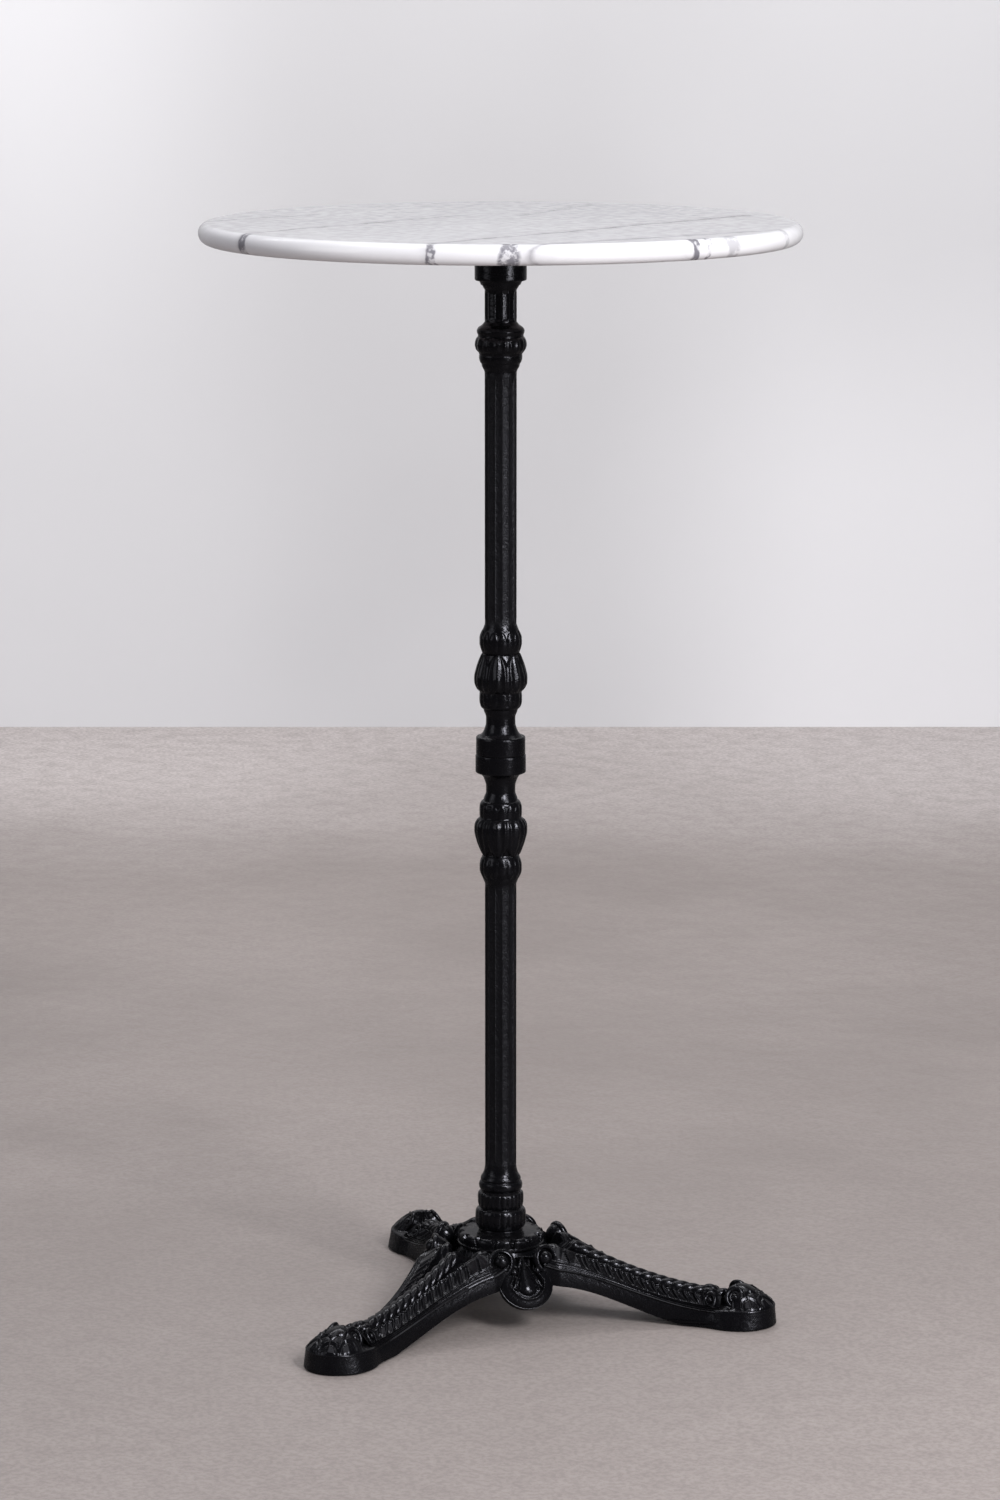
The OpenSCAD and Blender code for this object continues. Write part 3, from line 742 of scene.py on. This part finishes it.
def scroll_piece(side_):
    """A ribbon arched round a ball, its two ends running down into the casting."""
    o = ring(11.2, 2.2, 96, 20)
    named("scroll")
    c = read(o)
    r = np.hypot(c[:, 0], c[:, 1])
    # flatter across with a raised lip on both edges, and the lower half runs down longer
    c[:, 2] = c[:, 2] * 1.25 + 1.0 * (hump(r, 9.6, 0.7) + hump(r, 12.8, 0.7)) * (c[:, 2] > -0.5)
    c[:, 0] *= np.where(c[:, 0] < 0, 1.3, 1)
    write(o, c)
    # behind the ribbon the casting swells into a smooth dome that runs down into the arm of the leg
    back = ball(11.6, 72)
    c = read(back)
    c[:, 2] = np.where(c[:, 2] > 0, 0.08, 1.15) * c[:, 2] - 1.8
    c[:, 0] *= np.where(c[:, 0] < 0, 1.6, 1)
    write(back, c)
    joined(o, back, ball(7.7, 56, (-0.4, 0, 0.2)))
    turn = side_ * 19.3
    at = (70.5 * math.cos(math.radians(turn)), 70.5 * math.sin(math.radians(turn)), 71 + FOOT)
    o.data.transform(pose(at, (turn * 0.8, "Z"), (72, "Y"), (180, "Z")))
    return o


hub_line = [(6.5, 44), (19, 44), (19, 62), (34, 56), (51, 43), (58, 43), (58.4, 46), (57.5, 50.5)]
hub_line += [(r, z) for r, z in softly([(52, 56.4), (58, 50.5), (66, 44.8), (72.9, 41.2)], 1.5)]
hub_line += [(40.9, 72.95), (6.5, 72.95)]
hub = turned("hub_casting", hub_line, 360)


def hub_cut(angle, z):
    """Fine flutes on the slope, fanning up to the collar above each shell."""
    fluted = step(z, 50, 54) * (1 - step(z, 71, 72.5)) * (np.abs(across(angle, 3, 90)) < 0.42)
    return 1.5 * np.cos(np.radians(angle * 42)) * fluted


carved(hub, hub_cut, 40)
tidy_up(hub, 50)
dressing = []
for kind in (shell_piece(), scroll_piece(1), scroll_piece(-1)):
    dressing += three_round(kind, -30)
joined(hub, *dressing)
told(tidy_up(hub, 50))

# %% Three legs and three feet, each with its own mesh
tripod = [hub]
for master, label in ((leg, "leg"), (foot, "foot")):
    for k, twin in enumerate(three_round(master, -90)):
        twin.name = twin.data.name = f"{label}_casting_{k + 1}"
        tripod.append(twin)

# %% [markdown]
# ## Finishes
# Every finish is a small network of procedural nodes in object coordinates, so it needs no pictures and
# holds from any side. What several finishes share (cast skin, edges, dust, veins) is a node group.

# %% Node helpers and shared groups
def feed(tree, socket, value):
    """A link from another socket, or a fixed value."""
    if isinstance(value, bpy.types.NodeSocket):
        tree.links.new(value, socket)
    elif value is not None:
        socket.default_value = value


def node(tree, kind, links=None, **settings):
    n = tree.nodes.new(kind)
    for key, value in settings.items():
        setattr(n, key, value)
    for key, value in (links or {}).items():
        feed(tree, n.inputs[key], value)
    return n


def into(tree, sockets, **values):
    """Feeds the sockets by name; _ stands for a space."""
    for key, value in values.items():
        feed(tree, sockets[key.replace("_", " ")], value)


def math_node(tree, operation, a, b=None, c=None, clamp=False):
    n = node(tree, "ShaderNodeMath", operation=operation, use_clamp=clamp)
    for socket, value in zip(n.inputs, (a, b, c)):
        feed(tree, socket, value)
    return n.outputs[0]


def times(tree, a, b):
    return math_node(tree, "MULTIPLY", a, b)


def plus(tree, a, b, clamp=False):
    return math_node(tree, "ADD", a, b, clamp=clamp)


def minus(tree, a, b, clamp=False):
    return math_node(tree, "SUBTRACT", a, b, clamp=clamp)


def over(tree, a, b):
    return math_node(tree, "DIVIDE", a, b)


def size_of(tree, a):
    return math_node(tree, "ABSOLUTE", a)


def split(tree, vector):
    return node(tree, "ShaderNodeSeparateXYZ", {"Vector": vector}).outputs


def measured(tree, vector, direction):
    """How far a point lies along a direction."""
    links = {0: vector, 1: direction}
    return node(tree, "ShaderNodeVectorMath", links, operation="DOT_PRODUCT").outputs["Value"]


def shifted(tree, vector, axis, amount):
    offset = node(tree, "ShaderNodeCombineXYZ", {axis: amount}).outputs[0]
    return node(tree, "ShaderNodeVectorMath", {0: vector, 1: offset}, operation="ADD").outputs[0]


def stretched(tree, vector, scale):
    return node(tree, "ShaderNodeMapping", {"Vector": vector, "Scale": scale}).outputs[0]


def bumped(tree, height, strength, distance):
    links = {"Height": height, "Strength": strength, "Distance": distance}
    return node(tree, "ShaderNodeBump", links).outputs["Normal"]


def normal_of(tree):
    return node(tree, "ShaderNodeNewGeometry").outputs["Normal"]


def gloss_ray(tree):
    """1 where the surface is seen as a mirror image, else 0."""
    return node(tree, "ShaderNodeLightPath").outputs["Is Glossy Ray"]


def span(tree, value, low, high, to_low=0.0, to_high=1.0):
    n = node(tree, "ShaderNodeMapRange", {"Value": value, "From Min": low, "From Max": high,
                                          "To Min": to_low, "To Max": to_high})
    n.interpolation_type = "SMOOTHSTEP"
    return n.outputs["Result"]


def noise(tree, vector, scale, detail=3.0, rough=0.55):
    return node(tree, "ShaderNodeTexNoise",
                {"Vector": vector, "Scale": scale, "Detail": detail, "Roughness": rough}).outputs["Fac"]


def tint(tree, mask, a, b):
    return node(tree, "ShaderNodeMix", {0: mask, 6: a, 7: b}, data_type="RGBA").outputs[2]


def group(name, inputs, outputs):
    g = bpy.data.node_groups.new(name, "ShaderNodeTree")
    for label, kind, value in inputs:
        s = g.interface.new_socket(label, in_out="INPUT", socket_type=kind)
        if value is not None:
            s.default_value = value
    for label, kind in outputs:
        g.interface.new_socket(label, in_out="OUTPUT", socket_type=kind)
    return g, g.nodes.new("NodeGroupInput").outputs, g.nodes.new("NodeGroupOutput").inputs


def use(tree, g, links):
    return node(tree, "ShaderNodeGroup", links, node_tree=g).outputs


VECTOR, FLOAT = "NodeSocketVector", "NodeSocketFloat"

# Sand-cast skin under enamel: grains of about a millimetre, softer lumps, a few pits.
cast_skin, gi, go = group("cast_skin",
    [("Vector", VECTOR, None), ("Depth", FLOAT, 0.3), ("Grain", FLOAT, 1.0)],
    [("Normal", VECTOR), ("Grains", FLOAT), ("Lumps", FLOAT)])
grains = noise(cast_skin, gi["Vector"], 620, 2, 0.6)
lumps = noise(cast_skin, gi["Vector"], 170, 2, 0.5)
height = plus(cast_skin, times(cast_skin, grains, gi["Grain"]), times(cast_skin, lumps, 1.4))
into(cast_skin, go, Normal=bumped(cast_skin, height, gi["Depth"], 0.0006), Grains=grains, Lumps=lumps)

# Where the surface turns sharply outward: enamel is thin and rubbed there, and a painted highlight lightens
# it too.
edge_rub_and_sheen, gi, go = group("edge_rub_and_sheen", [("Amount", FLOAT, 1.0)], [("Mask", FLOAT)])
sharp = node(edge_rub_and_sheen, "ShaderNodeNewGeometry").outputs["Pointiness"]
into(edge_rub_and_sheen, go, Mask=times(edge_rub_and_sheen, span(edge_rub_and_sheen, sharp, 0.52, 0.62), gi["Amount"]))

# Fine dust lying on what faces up.
dust, gi, go = group("dust", [("Vector", VECTOR, None), ("Amount", FLOAT, 0.3)], [("Mask", FLOAT)])
patchy = span(dust, noise(dust, gi["Vector"], 45, 5, 0.65), 0.35, 0.7)
lying = times(dust, span(dust, split(dust, normal_of(dust))["Z"], 0.55, 1.0), patchy)
into(dust, go, Mask=times(dust, lying, gi["Amount"]))

# One vein of the stone: a wavering sheet x = start + slope * y that runs from y0 to y1.
vein, gi, go = group("vein",
    [("Vector", VECTOR, None), ("X", FLOAT, 0.0), ("Slope", FLOAT, 0.0), ("Y0", FLOAT, -0.3),
     ("Y1", FLOAT, 0.3), ("Wave", FLOAT, 0.012), ("Width", FLOAT, 0.004), ("Seed", FLOAT, 0.0)],
    [("Mask", FLOAT), ("Halo", FLOAT)])
parts = split(vein, gi["Vector"])
moved = shifted(vein, gi["Vector"], "Z", gi["Seed"])
wave = times(vein, minus(vein, noise(vein, moved, 9, 4, 0.6), 0.5), gi["Wave"])
fine = times(vein, minus(vein, noise(vein, moved, 60, 4, 0.6), 0.5), 0.005)
straight = math_node(vein, "MULTIPLY_ADD", parts["Y"], gi["Slope"], gi["X"])
line = plus(vein, straight, plus(vein, wave, fine))
off = size_of(vein, minus(vein, parts["X"], line))
thick = times(vein, gi["Width"], span(vein, noise(vein, moved, 26, 3, 0.5), 0.3, 0.7, 0.25, 1.3))
ends = times(vein, span(vein, minus(vein, parts["Y"], gi["Y0"]), -0.01, 0.03),
             span(vein, minus(vein, gi["Y1"], parts["Y"]), -0.01, 0.05))
core = minus(vein, 1.0, over(vein, off, thick), clamp=True)
halo = minus(vein, 1.0, over(vein, off, times(vein, thick, 6.0)), clamp=True)
broken = span(vein, noise(vein, moved, 40, 5, 0.65), 0.3, 0.62, 0.25, 1.0)
into(vein, go, Mask=times(vein, times(vein, core, ends), broken),
     Halo=times(vein, times(vein, halo, halo), ends))

# A clouded, streaked block where a vein leaves through the rim.
rim_block, gi, go = group("rim_block",
    [("Vector", VECTOR, None), ("Outward", VECTOR, None), ("Along", VECTOR, None), ("Half", FLOAT, 0.008),
     ("Seed", FLOAT, 0.0)], [("Block", FLOAT), ("Streaks", FLOAT)])
moved = shifted(rim_block, gi["Vector"], "X", gi["Seed"])
ahead = measured(rim_block, gi["Vector"], gi["Outward"])
aside = measured(rim_block, gi["Vector"], gi["Along"])
bent = times(rim_block, minus(rim_block, noise(rim_block, moved, 55, 3, 0.5), 0.5), 0.016)
off = size_of(rim_block, plus(rim_block, aside, bent))
far = over(rim_block, off, gi["Half"])
block = times(rim_block, span(rim_block, far, 0.6, 1.1, 1, 0), span(rim_block, ahead, 0.284, 0.291))
speckled = span(rim_block, noise(rim_block, moved, 120, 4, 0.6), 0.38, 0.52)
into(rim_block, go, Block=block, Streaks=times(rim_block, block, speckled))


def finish(name, **values):
    """A new material, its node tree, its shader's inputs and the place on the object."""
    m = bpy.data.materials.new(name)
    m.use_nodes = True
    shader = m.node_tree.nodes["Principled BSDF"].inputs
    into(m.node_tree, shader, **values)
    return m, m.node_tree, shader, node(m.node_tree, "ShaderNodeTexCoord").outputs["Object"]


# %% [markdown]
# ## Black enamel on cast iron
# The castings are dipped in a gloss black enamel. It flows off sharp edges, pools in hollows and lets
# the sand grain of the casting show as a fine sparkle, strongest on the plain shafts.

# %% Black enamel
def within(tree, value, low, high):
    """1 between two heights, fading over a few millimetres."""
    fade = 0.004
    above = span(tree, value, low - fade, low + fade)
    return times(tree, above, span(tree, value, high - fade, high + fade, 1, 0))


def enamel(name, depth, grain, rough, walls=0.0):
    m, tree, shader, place = finish(name, Coat_Weight=0.05, Coat_Roughness=0.08, IOR=1.5,
                                    Specular_IOR_Level=0.27, Specular_Tint=(0.88, 0.88, 1.0, 1))
    # the plain shafts keep the sand's grain; on the turned ornaments the enamel is thick and smooth
    up = split(tree, place)["Z"]
    shafts = plus(tree, within(tree, up, 0.157, 0.449), within(tree, up, 0.717, 0.970), clamp=True)
    slope = size_of(tree, split(tree, normal_of(tree))["Z"])
    grainy = math_node(tree, "MAXIMUM", shafts, span(tree, slope, 0.2, 0.5, walls, 0.0))
    strength = times(tree, span(tree, grainy, 0, 1, 0.3, 1.0), depth)
    skin = use(tree, cast_skin, {"Vector": place, "Depth": strength, "Grain": grain})
    rub_and_sheen = use(tree, edge_rub_and_sheen, {"Amount": 1.0})["Mask"]
    film = use(tree, dust, {"Vector": place, "Amount": 0.07})["Mask"]
    black = tint(tree, skin["Lumps"], (0.0014, 0.0013, 0.0018, 1), (0.0034, 0.0033, 0.004, 1))
    # sharp edges are lightened, partly as rubbed enamel and partly as a painted highlight
    black = tint(tree, times(tree, rub_and_sheen, 0.2), black, (0.02, 0.019, 0.02, 1))
    black = tint(tree, film, black, (0.06, 0.057, 0.055, 1))
    satin = math_node(tree, "MULTIPLY_ADD", grainy, 0.1, times(tree, shafts, 0.12))
    gloss = plus(tree, span(tree, skin["Grains"], 0.3, 0.7, rough - 0.05, rough + 0.1), satin)
    gloss = plus(tree, gloss, times(tree, film, 0.5), clamp=True)
    into(tree, shader, Base_Color=black, Roughness=gloss, Normal=skin["Normal"], Coat_Normal=skin["Normal"])
    return m


iron_grainy = enamel("black_enamel_grainy", 1.0, 1.0, 0.18)
iron_wet = enamel("black_enamel_wet", 0.75, 0.6, 0.16, walls=1.0)
iron_hidden = enamel("black_enamel_under_the_top", 0.5, 1.0, 0.4)

# %% [markdown]
# ## White marble with grey veins
# A warm white ground with clouds, crossed by a few long soft veins that waver, thin out and thicken,
# and go right through the slab, so that each shows again as a short band on the rounded edge.

# %% Marble
marble, tree, shader, place = finish("white_marble", Coat_Weight=0.25, Coat_Roughness=0.08, IOR=1.49)
clouds = span(tree, noise(tree, place, 5, 4, 0.55), 0.35, 0.7)
faint = span(tree, noise(tree, stretched(tree, place, (7, 1.1, 7)), 3.2, 5, 0.6), 0.56, 0.7)
colour = tint(tree, clouds, (0.77, 0.76, 0.785, 1), (0.715, 0.705, 0.735, 1))
colour = tint(tree, times(tree, faint, 0.12), colour, (0.56, 0.54, 0.57, 1))
for x, slope, y0, y1, wave_, width, seed, dark, haze in (
    (-0.088, 0.0, -0.31, 0.06, 0.02, 0.0035, 1.0, 0.75, 0.35),
    (0.133, 0.0, -0.31, 0.25, 0.03, 0.0045, 5.3, 0.85, 0.5),
    (0.259, 0.215, -0.30, 0.09, 0.012, 0.0035, 9.1, 0.6, 0.5),
    (-0.024, -0.23, 0.06, 0.27, 0.02, 0.003, 13.7, 0.5, 0.3),
    (-0.205, 0.10, -0.26, -0.02, 0.02, 0.0025, 17.2, 0.55, 0.3),
    (0.285, -0.1, -0.075, -0.03, 0.03, 0.002, 21.9, 0.8, 0.3),
):
    v = use(tree, vein, {"Vector": place, "X": x, "Slope": slope, "Y0": y0, "Y1": y1,
                         "Wave": wave_, "Width": width, "Seed": seed})
    colour = tint(tree, times(tree, v["Halo"], haze), colour, (0.42, 0.405, 0.43, 1))
    colour = tint(tree, times(tree, v["Mask"], dark), colour, (0.13, 0.12, 0.14, 1))
# clouded blocks where veins leave through the rim: turn from +X, half width, darkness
for turn, half, dark in (
    (-48.4, 0.0100, 0.85), (-62.4, 0.0050, 0.85), (-105.8, 0.0050, 0.8), (-12.0, 0.0055, 0.9),
    (-8.6, 0.0035, 0.7), (-2.0, 0.0090, 0.35), (18.0, 0.0060, 0.3),
):
    c, s = math.cos(math.radians(turn)), math.sin(math.radians(turn))
    v = use(tree, rim_block, {"Vector": place, "Outward": (c, s, 0), "Along": (-s, c, 0),
                              "Half": half, "Seed": turn})
    colour = tint(tree, times(tree, v["Block"], 0.4 * dark), colour, (0.40, 0.39, 0.42, 1))
    colour = tint(tree, times(tree, v["Streaks"], dark), colour, (0.14, 0.135, 0.16, 1))
polish = span(tree, noise(tree, place, 90, 2, 0.5), 0.3, 0.7, 0.15, 0.24)
into(tree, shader, Base_Color=colour, Roughness=polish)

# %% [markdown]
# ## Steel, brass and rubber
# Zinc-plated screws, washers, nuts and tie rods are dull bright with a cloudy bloom; the inserts are
# turned brass; the pads under the feet are matt black rubber, scuffed grey.

# %% Fittings
def metal(name, colour_a, colour_b, rough):
    m, tree, shader, place = finish(name, Metallic=1.0)
    bloom = noise(tree, place, 240, 4, 0.6)
    rings = noise(tree, stretched(tree, place, (1, 1, 14)), 160, 2, 0.5)
    into(tree, shader, Base_Color=tint(tree, bloom, colour_a, colour_b),
         Normal=bumped(tree, rings, 0.12, 0.0004),
         Roughness=span(tree, bloom, 0.3, 0.7, rough - 0.08, rough + 0.12))
    return m


zinc = metal("zinc_plate", (0.62, 0.63, 0.65, 1), (0.42, 0.43, 0.45, 1), 0.32)
brass = metal("turned_brass", (0.78, 0.57, 0.25, 1), (0.6, 0.42, 0.17, 1), 0.3)
rubber, tree, shader, place = finish("scuffed_rubber")
scuff = noise(tree, place, 320, 4, 0.6)
worn = tint(tree, span(tree, scuff, 0.45, 0.75), (0.018, 0.018, 0.018, 1), (0.07, 0.068, 0.065, 1))
into(tree, shader, Base_Color=worn, Roughness=span(tree, scuff, 0.3, 0.7, 0.62, 0.85),
     Normal=bumped(tree, scuff, 0.35, 0.0005))

# %% [markdown]
# ## Dressing the frame
# Castings with their own visual piece hide the plain CAD node; the fittings under the top and in the
# base are right as they were drawn, so they keep showing and only take their finish.

# %% Finishes on pieces and on the frame
def coat(o, material):
    o.data.materials.clear()
    o.data.materials.append(material)


dressed = [(o, iron_wet, "tripod_base", "iron") for o in tripod]
for o, material, hidden, slot in [
    (stone, marble, "marble_top", "marble"),
    (upper_column, iron_grainy, "upper_column", "iron"),
    (lower_column, iron_grainy, "lower_column", "iron"),
    (collar, iron_wet, "rosette_collar", "iron"),
] + dressed:
    coat(o, material)
    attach(o, "root")
    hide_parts(hidden)
special = {"top_inserts": brass, "floor_pads": rubber, "top_spider": iron_hidden}
for name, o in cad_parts.items():
    if o.hide_render:
        continue
    if not o.material_slots:
        o.data.materials.append(None)
    for place_slot in o.material_slots:
        place_slot.material = special.get(name, zinc)

# %% [markdown]
# ## Studio
# A warm grey polished concrete floor meets a pale wall well behind the table. One soft box stands to the
# right and gives the long glint on the shafts; a wide one overhead and a weak sky fill the rest.

# %% Floor, wall, lamps, camera
AIM = math.radians(39.975)  # the camera looks along this turn from +Y


def turned_place(right, back, up):
    """A point by its place to the right of, behind and above the table's foot, as the camera sees it."""
    return (right * math.cos(AIM) - back * math.sin(AIM), right * math.sin(AIM) + back * math.cos(AIM), up)


def board(name, place, tilt, size):
    clear()
    bpy.ops.mesh.primitive_plane_add(size=1, location=place, rotation=(tilt, 0, AIM))
    o = named(name)
    o.scale = (*size, 1)
    return seated(o)


floor = board("studio_floor", turned_place(0, 0, 0), 0, (16, 16))
wall = board("studio_wall", turned_place(0, 3.46, 2.5), math.pi / 2, (16, 5))

concrete, tree, shader, place = finish("studio_concrete", Specular_IOR_Level=0.35)
patches = span(tree, noise(tree, place, 1.6, 6, 0.6), 0.3, 0.7)
speckle = noise(tree, place, 150, 3, 0.7)
scour = noise(tree, place, 26, 5, 0.6)
ground = tint(tree, patches, (0.245, 0.212, 0.202, 1), (0.305, 0.266, 0.254, 1))
# darker just behind the table and paler in front of it; paler still along the wall, a painted reflection of
# the bright wall at a grazing angle
uneven = span(tree, noise(tree, place, 0.9, 3, 0.5), 0.3, 0.7, -0.25, 0.25)
depth = plus(tree, measured(tree, place, (-math.sin(AIM), math.cos(AIM), 0)), uneven)
ground = tint(tree, span(tree, depth, 2.0, 3.5, 0.0, 1.0), ground, (0.56, 0.51, 0.50, 1))
ground = tint(tree, span(tree, depth, -0.9, 0.5, 0.8, 0.0), ground, (0.38, 0.333, 0.318, 1))
ground = tint(tree, span(tree, scour, 0.35, 0.75, 0.0, 0.3), ground, (0.23, 0.20, 0.19, 1))
ground = tint(tree, span(tree, speckle, 0.40, 0.62, 0.0, 0.4), ground, (0.19, 0.166, 0.158, 1))
# the floor's mirror image in the gloss is kept dark, like the black cloths round a studio set
ground = tint(tree, times(tree, gloss_ray(tree), 0.72), ground, (0.02, 0.02, 0.022, 1))
into(tree, shader, Base_Color=ground, Roughness=span(tree, scour, 0.3, 0.7, 0.5, 0.62),
     Normal=bumped(tree, speckle, 0.15, 0.001))
coat(floor, concrete)

plaster, tree, shader, place = finish("studio_plaster", Roughness=0.9, Specular_IOR_Level=0.2)
wash = span(tree, noise(tree, place, 0.7, 3, 0.5), 0.3, 0.7)
paint = tint(tree, wash, (0.50, 0.494, 0.507, 1), (0.565, 0.56, 0.575, 1))
# daylight falls on the wall from the left above and from the right below
beside, above = measured(tree, place, (math.cos(AIM), math.sin(AIM), 0)), split(tree, place)["Z"]
left_wash = times(tree, span(tree, beside, -0.2, -0.85, 0, 0.72), span(tree, above, 0.1, 1.2, 0.35, 0.95))
right_wash = times(tree, span(tree, beside, 0.1, 0.6, 0, 0.8), span(tree, above, 0.35, 0.9, 1, 0.35))
paint = tint(tree, math_node(tree, "MAXIMUM", left_wash, right_wash), paint, (0.74, 0.735, 0.755, 1))
# in the gloss the wall's mirror image is painted dark, like the floor's
into(tree, shader, Base_Color=tint(tree, times(tree, gloss_ray(tree), 0.6), paint, (0.05, 0.05, 0.05, 1)))
coat(wall, plaster)


def soft_box(name, place, aim, size, power):
    clear()
    bpy.ops.object.light_add(type="AREA", location=place)
    lamp = bpy.context.object
    lamp.name = name
    lamp.rotation_euler = (Vector(aim) - Vector(place)).to_track_quat("-Z", "Y").to_euler()
    lamp.data.shape = "RECTANGLE"
    lamp.data.size, lamp.data.size_y = size
    lamp.data.energy = power


soft_box("key_box", turned_place(1.7, -2.7, 2.6), (0, 0, 0.6), (0.95, 1.4), 128)
soft_box("low_box", turned_place(2.3, -2.5, 0.95), (0, 0, 0.3), (0.8, 0.8), 26)
soft_box("top_box", turned_place(0.2, 0.3, 3.4), (0, 0, 0), (3.0, 3.0), 38)
soft_box("left_box", turned_place(-3.2, -1.5, 1.8), (0, 0, 0.6), (1.6, 2.2), 14)
soft_box("wall_box", turned_place(-0.6, 1.6, 3.2), turned_place(-0.6, 3.46, 1.2), (3.4, 0.8), 82)
world = bpy.data.worlds.new("studio_air")
scene.world = world
world.use_nodes = True
air = world.node_tree
# gloss mirrors a dark room, as in a studio; everything else is filled by a pale one
into(air, air.nodes["Background"].inputs, Color=(0.93, 0.94, 1.0, 1),
     Strength=span(air, gloss_ray(air), 0.0, 1.0, 0.42, 0.06))

clear()
bpy.ops.object.camera_add(location=(3.1395, -3.7459, 1.4749), rotation=(math.radians(79.71), 0, AIM))
camera = bpy.context.object
camera.data.sensor_fit = "VERTICAL"
camera.data.sensor_height = 36
camera.data.lens = 117.92
scene.camera = camera
scene.view_settings.view_transform = "Standard"
